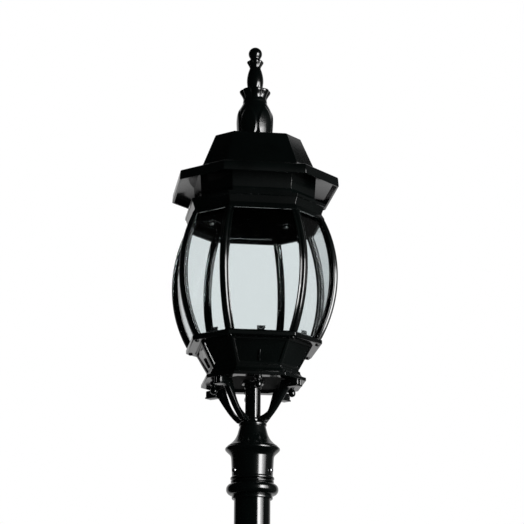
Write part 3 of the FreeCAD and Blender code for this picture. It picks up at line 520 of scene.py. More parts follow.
def bar(outline, extent, steps, place=lambda across, up: (across, up, 0)):
    """A straight bar: an outline as a face, extruded along its third axis in equal steps."""
    shape = rounded_outline(bmesh.new(), outline, place)
    bmesh.ops.contextual_create(shape, geom=shape.edges[:])
    front = shape.faces[:]
    for step in range(steps):
        made = bmesh.ops.extrude_face_region(shape, geom=front)["geom"]
        if step:
            bmesh.ops.delete(shape, geom=front, context="FACES_ONLY")
        front = [item for item in made if isinstance(item, bmesh.types.BMFace)]
        fresh = [item for item in made if isinstance(item, bmesh.types.BMVert)]
        bmesh.ops.translate(shape, verts=fresh, vec=Vector(extent) * MM / steps)
    return closed_up(shape)


def block(size, centre, edge=0.8):
    """A small block with rounded edges; sizes in millimetres."""
    shape = bmesh.new()
    bmesh.ops.create_cube(shape, size=1.0)
    bmesh.ops.scale(shape, vec=Vector(size) * MM, verts=shape.verts)
    bmesh.ops.bevel(shape, geom=shape.edges[:], offset=edge * MM, segments=3, profile=0.5, affect="EDGES",
                    material=-1)
    bmesh.ops.translate(shape, vec=Vector(centre) * MM, verts=shape.verts)
    return shape


def moved(shape, matrix):
    """The shape after a matrix."""
    bmesh.ops.transform(shape, matrix=matrix, verts=shape.verts)
    return shape


def raised(shape, height):
    """The shape lifted by a height in millimetres."""
    return moved(shape, Matrix.Translation((0, 0, height * MM)))


def turned_by(degrees):
    """A turn about the upright axis."""
    return Matrix.Rotation(math.radians(degrees), 4, "Z")


def joined(shapes):
    """Several shapes as one."""
    whole = bmesh.new()
    for shape in shapes:
        mesh = bpy.data.meshes.new("joining")
        shape.to_mesh(mesh)
        shape.free()
        whole.from_mesh(mesh)
        bpy.data.meshes.remove(mesh)
    return whole


def around(make, turns):
    """A shape made again at each turn about the upright axis."""
    return joined([moved(make(), turned_by(turn)) for turn in turns])


def add_piece(name, shape, slot, body, nodes, edge=None, sharp=32.0):
    """A finished piece that stands for its frame nodes and rides on its body."""
    mesh = bpy.data.meshes.new(name)
    shape.to_mesh(mesh)
    shape.free()
    mesh.materials.append(finish(slot))
    mesh.shade_smooth()
    mesh.set_sharp_from_angle(angle=math.radians(sharp))
    piece = bpy.data.objects.new(name, mesh)
    bpy.context.scene.collection.objects.link(piece)
    if edge:
        soft = piece.modifiers.new("Softened_edges", "BEVEL")
        soft.width = edge * MM
        soft.segments = 2
        soft.limit_method = "ANGLE"
        soft.angle_limit = math.radians(30)
        soft.harden_normals = True
    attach(piece, body)
    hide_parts(*nodes)
    return piece


def frame_copy(node):
    """A merged copy of a frame node's mesh, its flat faces whole again."""
    shape = bmesh.new()
    shape.from_mesh(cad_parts[node].data)
    bmesh.ops.remove_doubles(shape, verts=shape.verts, dist=1e-6)
    bmesh.ops.dissolve_limit(shape, angle_limit=math.radians(0.3), verts=shape.verts, edges=shape.edges)
    return shape


def dress(node, slot, body, edge):
    """Gives a frame node softened edges, a finish and smooth shading."""
    return add_piece(f"{node}_dressed", frame_copy(node), slot, body, [node], edge)


def solids(node):
    """The boxes of a frame node's separate solids, as lowest and highest corners."""
    shape = bmesh.new()
    shape.from_mesh(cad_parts[node].data)
    bmesh.ops.remove_doubles(shape, verts=shape.verts, dist=1e-6)
    left = set(shape.verts)
    boxes = []
    while left:
        reached = [left.pop()]
        found = []
        while reached:
            vert = reached.pop()
            found.append(vert.co.copy())
            near = {link.other_vert(vert) for link in vert.link_edges} & left
            left -= near
            reached += near
        boxes.append((Vector(map(min, *found)), Vector(map(max, *found))))
    shape.free()
    return sorted(boxes, key=lambda box: tuple(round(part, 4) for part in box[0]))


def hexagonal(shape, radius, above):
    """Pulls the ring of points at a radius, above a height, in to a hexagon."""
    for vert in shape.verts:
        if abs(vert.co.xy.length / MM - radius) < 0.02 and vert.co.z / MM > above:
            part = (math.degrees(math.atan2(vert.co.y, vert.co.x)) % 60) - 30
            vert.co.xy *= math.cos(math.radians(30)) / math.cos(math.radians(part))


def cut_thread(shape, radius, pitch, depth, bottom, top):
    """Winds a thread into the points at a radius between two heights."""
    for vert in shape.verts:
        height = vert.co.z / MM
        if abs(vert.co.xy.length / MM - radius) < 0.02 and bottom < height < top:
            phase = 2 * math.pi * height / pitch - math.atan2(vert.co.y, vert.co.x)
            vert.co.xy *= 1 - depth * (0.5 + 0.5 * math.cos(phase)) / radius


def rows(bottom, top, gap):
    """Heights from bottom to top, about a gap apart."""
    count = max(1, round((top - bottom) / gap))
    return [bottom + (top - bottom) * number / count for number in range(count + 1)]


def screw(shank, shank_length, head, head_height, pitch=1.0):
    """A domed socket screw along +Z, its head above zero."""
    socket = 0.5 * head
    shape = turned([(0, -shank_length), (shank - 0.6, -shank_length)]
                   + [(shank, height) for height in rows(0.6 - shank_length, 0, pitch / 3)]
                   + [(head, 0), (head, 0.45 * head_height, 0.35 * head_height),
                      (0.72 * head, head_height, 0.6), (socket, head_height), (socket, 0.35 * head_height),
                      (0, 0.25 * head_height)], 24)
    hexagonal(shape, socket, 0.3 * head_height)
    cut_thread(shape, shank, pitch, 0.35, 1.2 - shank_length, -0.4)
    return shape


# Post ---------------------------------------------------------------------------------------

def build_base_plate():
    """Round plate with its anchor holes and cable hole."""
    dress("base_plate", "black_paint", "post", 1.0)


def build_tubes():
    """The lower column and the upper tube, each with a narrow welded seam inside."""
    for node, wall in (("lower_column", 3.6), ("upper_tube", 3.0)):
        outer = reach(node)
        rise = high(node) - low(node)
        middle = [(outer, height) for height in rows(1.2, rise - 1.2, 60)]
        tube = turned([(outer - wall, 0.3), (outer - wall + 0.4, 0), (outer - 0.6, 0)] + middle
                      + [(outer - 0.6, rise), (outer - wall + 0.4, rise), (outer - wall, rise - 0.3)], 96)
        seam = bar([(-1.6, 0), (1.6, 0), (1.2, 0.5, 0.3), (-1.2, 0.5, 0.3)], (0, 0, rise - 2), 1)
        moved(seam, turned_by(90) @ Matrix.Translation((0, (wall - outer - 0.05) * MM, 1 * MM)))
        shape = raised(joined([tube, seam]), low(node))
        add_piece(f"{node}_turned", shape, "black_paint", "post", [node])


def build_base_cover():
    """Cast bell over the anchor bolts."""
    base = low("base_cover")
    bead = mm(settings("lamp_post").bead)
    rise = high("base_cover") - base
    foot = reach("base_cover")
    shape = turned([
        (foot - 6, 0), (foot, 0, 0.8), (foot, 16, 6), (foot - 6.5, 20, 1), (foot - 9, 20),
        (foot - 9, 24, 0.6), (90, 30, 30), (80, 74, 26), (70, 118, 22), (57, 172, 40), (48.5, 237),
        (48.5, 240, 1), (54, 242, bead), (54, 254, bead), (48, 256, 1), (47.5, 259, 2), (44.6, 275, 1),
        (47.5, 279, bead), (47.5, 295, bead), (43, rise, 1), (38.5, rise, 0.4), (38.5, 276), (43.5, 268),
        (43.5, 234), (53, 170, 20), (66, 112, 20), (76, 70, 24), (88, 36, 20), (123, 24),
        (foot - 6, 14, 4)], 96)
    add_piece("base_cover_cast", raised(shape, base), "black_iron", "base_cover", ["base_cover"])


def build_column_collar():
    """Turned collar between the column and the tube."""
    bead = mm(settings("lamp_post").bead)
    shape = turned([
        (25, -60), (34.3, -60, 0.6), (34.3, 0), (38, 0), (41, 1.6, 0.8), (41, 7, 0.8), (39, 8, 0.6),
        (44, 10, 3.5), (44, 22, 3.5), (39, 24, 0.8), (40, 26, 0.8), (40, 30, 1), (37.5, 36, 6), (36, 43, 1),
        (39.6, 44.6, bead), (39.6, 50.4, bead), (35, 52, 0.8), (35, 62, 0.8), (33.6, 64, 0.8), (30.05, 64),
        (30.05, -55), (25, -55)])
    add_piece("column_collar_turned", raised(shape, low("column_collar") + 60), "painted_casting", "post",
              ["column_collar"])


def build_post_ring():
    """Round moulding under the fitter."""
    shape = turned([
        (30.05, 0), (33, 0), (33.9, 0.8, 0.6), (33.9, 4.6, 1.2), (32.6, 5.4, 0.4), (34.6, 6.6, 0.6),
        (43.2, 8.2, 7.2), (43.2, 24, 7.2), (34.4, 25.6, 0.6), (33.6, 26.4, 0.4), (35.8, 27.2, 1.5),
        (35.8, 30.4, 1.2), (32.6, 31, 0.3), (30.05, 31)], 96)
    add_piece("post_ring_turned", raised(shape, low("post_ring")), "painted_casting", "post", ["post_ring"])


# Fitter, stem and arms ----------------------------------------------------------------------

def build_post_fitter():
    """Cast cap with its skirt, flange, bell and top bead."""
    shape = turned([
        (30.08, 0), (34.4, 0, 0.4), (36.4, 0.4, 1.4), (36.4, 4.4, 1.4), (34.1, 5, 0.6), (34.0, 8, 1),
        (35.4, 36, 2), (36.4, 41, 3), (44.4, 48.4, 1.2), (45.8, 50.6, 1.6), (45.2, 53.6, 1.2),
        (42.8, 54.4, 0.5), (42.2, 56.4, 1.0), (40.2, 57.6, 1.0), (34, 62, 12), (26.6, 72, 10),
        (23.2, 84, 6), (21.8, 90, 1), (23.2, 90.8, 1), (23.2, 94.8, 1.4), (21, 97, 0.6), (9.05, 97),
        (9.05, 84), (16.5, 84, 1), (26, 62.3, 1), (30.08, 62.3)], 96)
    add_piece("post_fitter_cast", raised(shape, low("post_fitter")), "painted_casting", "head",
              ["post_fitter"])


def build_stem():
    """Threaded stem, its two nuts and the rubber bush."""
    base = low("stem_tube")
    rise = high("stem_tube") - base
    shoulder = 23
    top = shoulder + 64
    shape = turned(
        [(6, 0), (8.4, 0)] + [(9, height) for height in rows(0.8, shoulder, 0.5)]
        + [(15, shoulder + 0.2, 1.2), (15, shoulder + 5, 1.4), (13.1, shoulder + 5.8, 0.4),
           (13, shoulder + 9, 1), (13, top - 8, 1), (14.6, top - 5.4, 1.2), (14.9, top, 0.3)]
        + [(9, height) for height in rows(top, rise - 0.8, 0.5)] + [(8.4, rise), (6, rise)], 48)
    cut_thread(shape, 9, 1.5, 0.7, 0.9, shoulder - 0.4)
    cut_thread(shape, 9, 1.5, 0.7, top + 0.3, rise - 1)
    add_piece("stem_tube_turned", raised(shape, base), "black_paint", "head", ["stem_tube"])
    dress("stem_nuts", "screw_steel", "head", 0.7)
    dress("cable_bush", "black_rubber", "head", 0.5)


def arm_shape():
    """One arm along +X: a curved strap, a foot block and a pair of round beads on it."""
    width = 11
    strap = bar([
        (17, 0), (29, 0, 3), (42, 11, 10), (57, 28.8, 12), (72, 49.5, 4), (78, 50.6), (78, 63.8), (62, 64, 2),
        (57, 50, 14), (48, 28.5, 16), (33, 13, 10), (17, 8, 3)], (0, width, 0), 1,
        lambda across, up: (across, 0, up))
    bmesh.ops.translate(strap, vec=(0, -0.5 * width * MM, 0), verts=strap.verts)
    bmesh.ops.bevel(strap, geom=[edge for edge in strap.edges if edge.calc_face_angle(0) > 1.2],
                    offset=2.2 * MM, segments=4, profile=0.5, affect="EDGES", material=-1)
    foot = block((21, 14, 13.4), (84, 0, 57.1), 1.6)
    ledge = block((24, 16, 2.8), (85, 0, 51.6), 1.2)
    beads = [moved(turned([(0, 51), (2.6, 51, 1.4), (2.6, 63.6, 1.4), (0, 63.6)], 24),
                   Matrix.Translation((94.2 * MM, side * MM, 0))) for side in (-4.2, 4.2)]
    return joined([strap, foot, ledge, *beads])


def build_arms():
    """The four arms under the tray."""
    for number in range(1, 5):
        shape = moved(arm_shape(), turned_by(90 * number - 45))
        node = f"arm_{number}"
        add_piece(f"{node}_cast", raised(shape, low(node)), "painted_casting", "head", [node])


def build_ball_drops():
    """The four balls under the tray, each on its stud."""
    def drop():
        top = high("ball_drops") - low("tray_base")
        shape = turned([(0, -19), (2.0, -18.7, 0.8), (5.2, -16.8, 1.8), (6.5, -12.5, 3), (5.2, -8.2, 1.8),
                        (3.4, -6.6, 0.6), (3.2, -4.4, 0.4), (6.3, -3, 0.8), (6.5, 0, 0.3), (2.5, 0)]
                       + [(2.5, height) for height in rows(0.5, top - 0.6, 0.4)] + [(2, top), (0, top)], 32)
        cut_thread(shape, 2.5, 0.9, 0.35, 0.6, top - 0.8)
        return moved(shape, Matrix.Translation((DROP_CIRCLE * MM, 0, 0)))
    shape = raised(around(drop, QUARTERS), low("tray_base"))
    add_piece("ball_drops_turned", shape, "painted_casting", "head", ["ball_drops"])


# Tray ---------------------------------------------------------------------------------------

def matte_underside():
    """Unpolished dark paint inside a casting's hollow."""
    material = painted("Matte_hollow_paint", 260.0, 900.0, 0.8, 0.75, 0.1, 0.1)
    material.node_tree.nodes["Principled BSDF"].inputs["Coat Weight"].default_value = 0.0
    material.node_tree.nodes["Principled BSDF"].inputs["Specular IOR Level"].default_value = 0.15
    return material


def build_tray_base():
    """Eight-sided foot of the tray, hollowed above its edge and under its floor."""
    hollow = 4.4
    foot = eight_sided([
        (9.05, 0), (19, 0), (20, 0.6), (21, hollow), (72, hollow), (74, 0.6), (75, 0), (92, 0), (93.4, 0.8),
        (93.4, 5.4), (92.2, 6.4), (89.4, 6.8), (86.4, 8.6), (84.2, 11.4), (83.2, 14.6), (83.2, 16.2),
        (80.6, 16.8), (80.6, 19), (60, 19), (59, 6), (9.05, 6)])

    def boss():
        return moved(turned([(2.6, 0), (7.6, 0), (8.2, 0.6), (8.8, hollow + 0.3), (2.6, hollow + 0.3)], 24),
                     Matrix.Translation((DROP_CIRCLE * MM, 0, 0)))

    shape = joined([foot, around(boss, QUARTERS)])
    piece = add_piece("tray_base_cast", raised(shape, low("tray_base")), "painted_casting", "head",
                      ["tray_base"], 0.6)
    piece.data.materials.append(matte_underside())
    ceiling = (low("tray_base") + hollow) * MM
    for face in piece.data.polygons:
        if abs(face.center.z - ceiling) < 0.1 * MM and face.normal.z < -0.9:
            face.material_index = 1


def sink_panels(shape, margin, depth):
    """Sinks a panel into each wide outer face of the tray."""
    wide = [face for face in shape.faces
            if face.calc_area() > 0.0022 and face.normal.dot(face.calc_center_median()) > 0
            and max(abs(face.normal.x), abs(face.normal.y)) > 0.8]
    bmesh.ops.inset_individual(shape, faces=wide, thickness=margin * MM, depth=0)
    bmesh.ops.inset_individual(shape, faces=wide, thickness=1.4 * MM, depth=-depth * MM)


def build_tray_body():
    """Eight-sided dish with sunk panels, a ridge down each and the bosses inside."""
    sizes = settings("lamp_lantern")
    dish = eight_sided([(76.6, 0), (80.6, 0), (105.2, 41.3), (88, 41.3), (88, 35.8), (99.2, 35.8)])
    sink_panels(dish, mm(sizes.panel_margin), mm(sizes.panel_depth))
    slope = math.atan2((105.2 - 80.6) * math.cos(math.radians(CORNER)), 41.3)

    def ridge():
        rod = turned([(0, 7.5), (2.1, 7.5, 1.4), (1.7, 26, 1.2), (0, 26)], 20)
        lean = Matrix.Translation((70.6 * MM, 0, 0)) @ Matrix.Rotation(slope, 4, "Y")
        return moved(rod, lean)

    def boss():
        tube = turned([(2.55, 0), (5.1, 0), (5.1, 14, 0.6), (2.55, 14)], 24)
        return moved(tube, Matrix.Translation((DROP_CIRCLE * MM, 0, 0)))

    shape = raised(joined([dish, around(ridge, QUARTERS), around(boss, QUARTERS)]), low("tray_body"))
    add_piece("tray_body_cast", shape, "painted_casting", "head", ["tray_body"], 0.7)


def build_lampholder():
    """Ceramic cup, its threaded sleeve and contact, the strip under it and the terminal block."""
    base = low("lampholder")
    cup = turned([
        (3.5, 0), (18, 0, 0.8), (20, 1.8, 1), (20, 25.4, 0.8), (18.2, 27.2, 0.8), (18.2, 30, 0.5),
        (18.7, 30.6, 0.4), (18.7, 32, 0.4), (18.2, 32.6, 0.4), (18, 37, 0.8), (17, 38, 0.6), (14.7, 38),
        (14.7, 6), (3.5, 6)], 64)
    add_piece("lampholder_cup", raised(cup, base), "white_ceramic", "head", ["lampholder"])
    sleeve = turned([(14.7, 6.2)] + [(14.7, height) for height in rows(7, 34, 1.2)]
                    + [(14.5, 34.9), (13.9, 34.9)]
                    + [(13.9, height) for height in rows(34, 7, 1.2)] + [(13.9, 6.2)], 48)
    add_piece("holder_sleeve_pressed", raised(sleeve, base), "contact_brass", "head", ["holder_sleeve"])
    dress("holder_contact", "contact_brass", "head", 0.15)
    dress("lampholder_strip", "spring_steel", "head", 0.4)
    dress("terminal_block", "white_plastic", "head", 0.8)


def build_lamp():
    """Round lamp bulb and its screw cap."""
    base = low("lamp_cap") - 1
    cap = turned([(0, 1), (4, 1, 0.3), (4.6, 2.4, 0.4), (9.8, 4.2, 0.8)]
                 + [(13.1, height) for height in rows(6.4, 24, 0.9)]
                 + [(13.1, 26.4, 0.5), (12.6, 27), (0, 27)], 48)
    cut_thread(cap, 13.1, 3.6, 1.0, 6.6, 23.8)
    add_piece("lamp_cap_threaded", raised(cap, base), "bright_nickel", "lamp", ["lamp_cap"])
    bulb = turned([(0, 27), (12.4, 27), (12.5, 29.4, 2), (17.8, 35, 5), (22.3, 42, 5), (22.5, 52, 6),
                   (20.6, 60, 5), (16, 67.4, 5), (9, 71.4, 4), (0, 72)], 64)
    add_piece("lamp_bulb_blown", raised(bulb, base), "opal_glass", "lamp", ["lamp_bulb"], sharp=60.0)


# Cage ---------------------------------------------------------------------------------------

def build_bottom_ring():
    """Eight-sided ring under the glass."""
    shape = eight_sided([(88, 0), (119.6, 0), (121.6, 1.6), (121.6, 7.2), (118.6, 10), (88, 10)])
    add_piece("bottom_ring_cast", raised(shape, low("bottom_ring")), "painted_casting", "head",
              ["bottom_ring"], 0.8)


def bow(height):
    """Distance of the ribs' outer line from the axis at a height above their feet."""
    foot, head, bulge = 120.0, 126.0, 0.253
    chord = math.hypot(head - foot, RIB_HEIGHT)
    radius = chord * (1 + bulge ** 2) / (4 * bulge)
    middle = radius - bulge * chord / 2
    across = (foot + head) / 2 - middle * RIB_HEIGHT / chord
    up = RIB_HEIGHT / 2 + middle * (head - foot) / chord
    return across + math.sqrt(max(radius ** 2 - (height - up) ** 2, 0))


def rib_shape():
    """One bowed rib along +X: a moulded cap with a round bead, and the web between the panes."""
    bead = mm(settings("lamp_lantern").rib_bead)
    side = [(0, 0), (0.45 * bead, 0.35), (0.85 * bead, 1.5), (bead, 2.8), (bead + 0.4, 3.1), (7.2, 3.3),
            (8, 4.0), (8, 5.4), (7.4, 6), (3, 6), (3, 15.4), (2.4, 16)]
    outline = side + [(-across, inward) for across, inward in reversed(side[1:])]
    shape = bar(outline, (0, 0, RIB_HEIGHT), BOW_STEPS)
    for vert in shape.verts:
        across, inward, height = vert.co / MM
        vert.co = Vector((bow(height) - inward, across, height)) * MM
    return closed_up(shape)


def build_cage_ribs():
    """The eight bowed ribs."""
    for number in range(1, 9):
        side = CORNER if number % 2 else -CORNER
        shape = moved(rib_shape(), turned_by(90 * ((number - 1) // 2) + side))
        node = f"cage_rib_{number}"
        add_piece(f"{node}_cast", raised(shape, low(node)), "painted_casting", "head", [node])


def pane_shape(angle, rise):
    """A bent pane along +X between two ribs, with a ground bevel down each side."""
    sizes = settings("lamp_lantern")
    thick = mm(sizes.glass)
    ground = mm(sizes.glass_bevel)
    set_back = 5.5
    rib_gap = 3.55
    nominal = 100.0
    thin = 0.45 * thick
    outline = [(-nominal, thick), (nominal, thick), (nominal, thin), (nominal - ground, 0),
               (ground - nominal, 0), (-nominal, thin)]
    shape = bar(outline, (0, 0, rise), BOW_STEPS)
    lean = math.cos(math.radians(angle))
    slope = math.tan(math.radians(angle))
    for vert in shape.verts:
        across, inward, height = vert.co / MM
        face = (bow(height) - set_back) * lean
        half = (face - thick) * slope - rib_gap / lean
        across += (half - nominal) * math.copysign(1, across)
        vert.co = Vector((face - inward, across, height)) * MM
    return closed_up(shape)


def build_panes():
    """The four wide and the four narrow panes."""
    for number in range(1, 5):
        for kind, turn, angle in (("wide", -90, CORNER), ("narrow", -45, 45 - CORNER)):
            node = f"{kind}_pane_{number}"
            shape = moved(pane_shape(angle, high(node) - low(node)), turned_by(90 * number + turn))
            add_piece(f"{node}_bent", raised(shape, low(node)), "clear_glass", "head", [node])


def build_pane_clips():
    """The clips behind the feet of the panes."""
    dress("pane_clips", "spring_steel", "head", 0.3)


def build_top_ring():
    """Eight-sided band over the ribs, with its lugs."""
    band = eight_sided([(121.5, 0), (126, 0), (126, 2), (121.4, 9.4), (121.4, 11), (125.6, 22), (127, 23),
                        (127, 28), (105, 28), (105, 22), (116.5, 22), (116.5, 10)])

    def lug():
        return block((29, 24, 5.8), (94.5, 0, 25.1), 1.2)

    shape = joined([band, around(lug, (45, 135, 225, 315))])
    add_piece("top_ring_cast", raised(shape, low("top_ring")), "painted_casting", "head", ["top_ring"], 0.7)


def build_lantern_throat():
    """Eight-sided upstand on the top ring, with a rolled bead round its rim."""
    node = "lantern_throat"
    rise = high(node) - low(node)
    foot = 108.04
    head = foot + 4
    wall = 3
    shape = eight_sided([
        (foot - wall, 0), (foot - 0.4, 0), (foot, 0.5), (foot + 0.9, 12), (foot + 0.6, 12.8),
        (foot + 0.8, 13.4), (head - 0.6, rise - 4), (head - 0.2, rise - 3), (head - 0.1, rise - 0.6),
        (head - 0.6, rise), (head - wall + 0.3, rise), (head - wall, rise - 0.4)])
    add_piece("lantern_throat_cast", raised(shape, low(node)), "painted_casting", "head", [node], 0.5)


# Roof ---------------------------------------------------------------------------------------

def build_roof_cap():
    """Hollow eight-sided roof with a cove above its brim."""
    cove = mm(settings("lamp_lantern").cove)
    top = high("roof_cap") - low("roof_cap")

    def corner_at(height):
        part = min(max((height - 17) / 14, 0), 1)
        return CORNER + (ROOF_CORNER - CORNER) * part

    shape = eight_sided([
        (148, 0), (151.5, 0), (152, 1), (150.9, 14.4), (149.7, 16.7, 1), (113.2, 28, cove), (109.8, 36.5),
        (86.4, 88.4), (84.4, top), (4.2, top), (4.2, 86.3), (81.2, 86.3), (105.8, 32.5), (109, 26, 4),
        (146.1, 12.7), (147.9, 3)], corner_at)
    add_piece("roof_cap_cast", raised(shape, low("roof_cap")), "painted_casting", "roof", ["roof_cap"], 1.3)


def build_roof_pillars():
    """The four pillars under the roof."""
    dress("roof_pillars", "painted_casting", "roof", 0.6)


def petal_wave(angle, count, sharpness):
    """From 0 in the gap between two petals to 1 along a petal's middle."""
    return abs(math.cos(0.5 * count * angle)) ** sharpness


def leaf_relief(angle, height, count, foot, tip):
    """Height of a pointed leaf's relief, from 0 on the ground to 1 on its raised edge."""
    part = (height - foot) / (tip - foot)
    if not 0 <= part <= 1:
        return 0.0
    half = math.sin(math.pi * min(part * 0.92 + 0.16, 1)) ** 0.8
    across = abs(((angle * count / (2 * math.pi)) + 0.5) % 1 - 0.5) * 2
    if across > half or half <= 0:
        return 0.0
    inside = across / half
    return (0.45 + 0.55 * inside ** 3) * min(1.0, (half - across) * 7) * min(1, part * 9)


def build_finial():
    """Finial with its leafy bulb, two petal collars, spindle and ball; its stud and nut."""
    sizes = settings("lamp_finial")
    base = low("finial")
    depth = mm(sizes.leaf_depth)
    petal = mm(sizes.petal_depth)
    shape = turned(
        [(4, 2), (4, 0), (29.4, 0), (30.0, 2, 0.5), (28.6, 3.4, 0.5)] + [(r, z) for r, z in (
            (29.0, 6), (29.6, 9), (30.2, 12), (30.7, 15), (31.1, 18), (31.5, 21), (31.8, 24), (32.0, 27),
            (32.2, 30), (32.4, 33), (32.5, 36), (32.6, 39), (32.6, 42), (32.5, 45), (32.3, 48), (32.0, 51),
            (31.5, 54), (30.8, 57), (29.9, 60), (28.8, 63), (27.4, 66), (25.8, 69), (24.2, 72), (22.6, 75),
            (21.3, 78), (20.6, 80.5), (20.4, 82.5), (20.8, 84.5), (21.8, 87), (23.2, 89.5), (24.8, 92),
            (26.4, 94.4), (27.2, 96.4), (27.0, 98), (25.6, 99), (22, 99.2), (18, 98.8), (14.6, 98.8),
            (12.9, 100), (12.9, 103), (13.5, 107), (14.1, 111), (14.5, 116), (14.4, 121), (13.8, 126),
            (12.8, 131), (11.4, 136), (10.1, 139.4), (9.6, 141.2), (9.8, 143), (10.8, 145.4), (12.4, 148),
            (14.0, 150.6), (14.7, 152.4), (14.4, 153.6), (13, 154.4), (10.6, 154.6), (9.2, 155.6),
            (8.8, 157.4), (8.5, 159))]
        + [(12 * math.cos(math.radians(tilt)), 168.4 + 12 * math.sin(math.radians(tilt)))
           for tilt in (-42, -28, -12, 4, 20, 36, 52, 68, 80)]
        + [(0, high("finial") - base), (0, 30), (4, 30)], 144)
    for vert in shape.verts:
        radius = vert.co.xy.length / MM
        height = vert.co.z / MM
        if radius < 8.5:
            continue
        angle = math.atan2(vert.co.y, vert.co.x)
        for middle, half in ((94.5, 13), (151.2, 10)):
            near = max(0.0, 1 - abs(height - middle) / half)
            if near:
                proud = petal_wave(angle, sizes.petals, 0.7)
                scale = petal if middle < 100 else 0.6 * petal
                radius -= scale * (1 - proud) * near ** 0.8 * (1 if radius > 12 else 0.4)
        if 4 < height < 76:
            radius += depth * (leaf_relief(angle, height, sizes.leaves, 6, 72) - 0.75)
        vert.co.xy *= radius / max(vert.co.xy.length / MM, 1e-6)
    piece = add_piece("finial_cast", raised(shape, base), "painted_casting", "roof", ["finial"], sharp=75.0)
    smooth = piece.modifiers.new("Cast_skin", "SUBSURF")
    smooth.levels = 1
    smooth.render_levels = 1
    dress("finial_stud", "screw_steel", "roof", 0.4)
    dress("finial_nut", "screw_steel", "roof", 0.5)


# Screws -------------------------------------------------------------------------------------

def upright_screw(box, head_up, shank):
    """A screw that fills one upright solid of the frame."""
    lowest, highest = (corner / MM for corner in box)
    head = (highest.x - lowest.x) / 2
    tall = highest.z - lowest.z
    head_height = 0.62 * head
    shape = screw(shank, tall - head_height, head, head_height)
    middle = (lowest + highest) / 2
    if head_up:
        return moved(shape, Matrix.Translation(Vector((middle.x, middle.y, highest.z - head_height)) * MM))
    flip = Matrix.Rotation(math.pi, 4, "X")
    return moved(shape, Matrix.Translation(Vector((middle.x, middle.y, lowest.z + head_height)) * MM) @ flip)


def radial_screw(inner, outer, height, turn, shank=3.0, head=4.4):
    """A level screw that points at the post's axis, its head outwards."""
    shape = screw(shank, outer - inner, head, 2.8)
    level = Matrix.Rotation(math.radians(90), 4, "Y")
    place = Matrix.Translation((outer * MM, 0, height * MM)) @ level
    return moved(shape, turned_by(turn) @ place)


def radial_set(node, shank_length, body):
    """Screws round the post at the places of a frame node's solids."""
    screws = []
    for lowest, highest in solids(node):
        middle = (lowest + highest) / 2
        turn = math.degrees(math.atan2(middle.y, middle.x))
        centre = middle.xy.length / MM
        height = middle.z / MM
        inner = centre - 0.5 * shank_length
        outer = centre + 0.5 * shank_length - 2.2
        screws.append(radial_screw(inner, outer, height, turn))
    add_piece(f"{node}_made", joined(screws), "screw_steel", body, [node])


def build_screws():
    """Every screw of the post and the lantern."""
    radial_set("cover_screws", 9.9, "base_cover")
    radial_set("collar_screws", 8.3, "post")
    radial_set("fitter_screws", 7.1, "head")
    for node, head_up, shank, slot in (
            ("arm_screws", False, 2.4, "screw_steel"), ("ring_screws", True, 1.9, "screw_steel"),
            ("rib_screws_1", False, 1.85, "black_paint"), ("rib_screws_2", False, 1.85, "black_paint"),
            ("roof_screws", False, 2.4, "screw_steel"), ("strip_screws", True, 1.9, "screw_steel"),
            ("earth_screw", True, 2.4, "contact_brass")):
        screws = [upright_screw(box, head_up, shank) for box in solids(node)]
        add_piece(f"{node}_made", joined(screws), slot, "head", [node])


# Stage --------------------------------------------------------------------------------------

def toward(direction):
    """The turn that points an object's -Z along a direction."""
    return Vector(direction).to_track_quat("-Z", "Y")


def build_camera(studio):
    """The camera below the lantern, looking up at it."""
    data = bpy.data.cameras.new("Studio_camera")
    data.lens = studio.lens
    data.sensor_width = 36
    data.clip_end = 100
    camera = bpy.data.objects.new("Studio_camera", data)
    bpy.context.scene.collection.objects.link(camera)
    turn = studio.turn
    camera.location = (-studio.distance * math.sin(turn), -studio.distance * math.cos(turn),
                       high("finial") * MM - studio.eye)
    ahead = Vector((math.sin(studio.yaw) * math.cos(studio.pitch),
                    math.cos(studio.yaw) * math.cos(studio.pitch), math.sin(studio.pitch)))
    ahead.rotate(Matrix.Rotation(-turn, 3, "Z"))
    camera.rotation_mode = "QUATERNION"
    camera.rotation_quaternion = toward(ahead) @ Matrix.Rotation(studio.roll, 3, "Z").to_quaternion()
    bpy.context.scene.camera = camera


def soft_light(name, size, energy, place, aim):
    """A rectangular soft light."""
    data = bpy.data.lights.new(name, "AREA")
    data.shape = "RECTANGLE"
    data.size, data.size_y = size
    data.energy = energy
    light = bpy.data.objects.new(name, data)
    light.location = place
    light.rotation_mode = "QUATERNION"
    light.rotation_quaternion = toward(Vector(aim) - Vector(place))
    bpy.context.scene.collection.objects.link(light)
    return light


def build_softbox(studio):
    """Tall soft light at the right, brightest in its middle."""
    outward, sideways, level = Vector((0.60, -0.80, 0)), Vector((0.80, 0.60, 0)), Vector((0, 0, 1.90))
    layers = ((0.7, 1.5, 0.5, 0.0), (1.3, 1.8, 0.3, 0.15), (1.9, 1.9, 0.2, 0.42))
    for number, (width, tall, part, aside) in enumerate(layers):
        place = outward * (2.50 + 0.02 * number) + sideways * aside + level
        power = math.pi * studio.key * part * width * tall
        soft_light(f"Tall_softbox_{number + 1}", (width, tall), power, place, level)


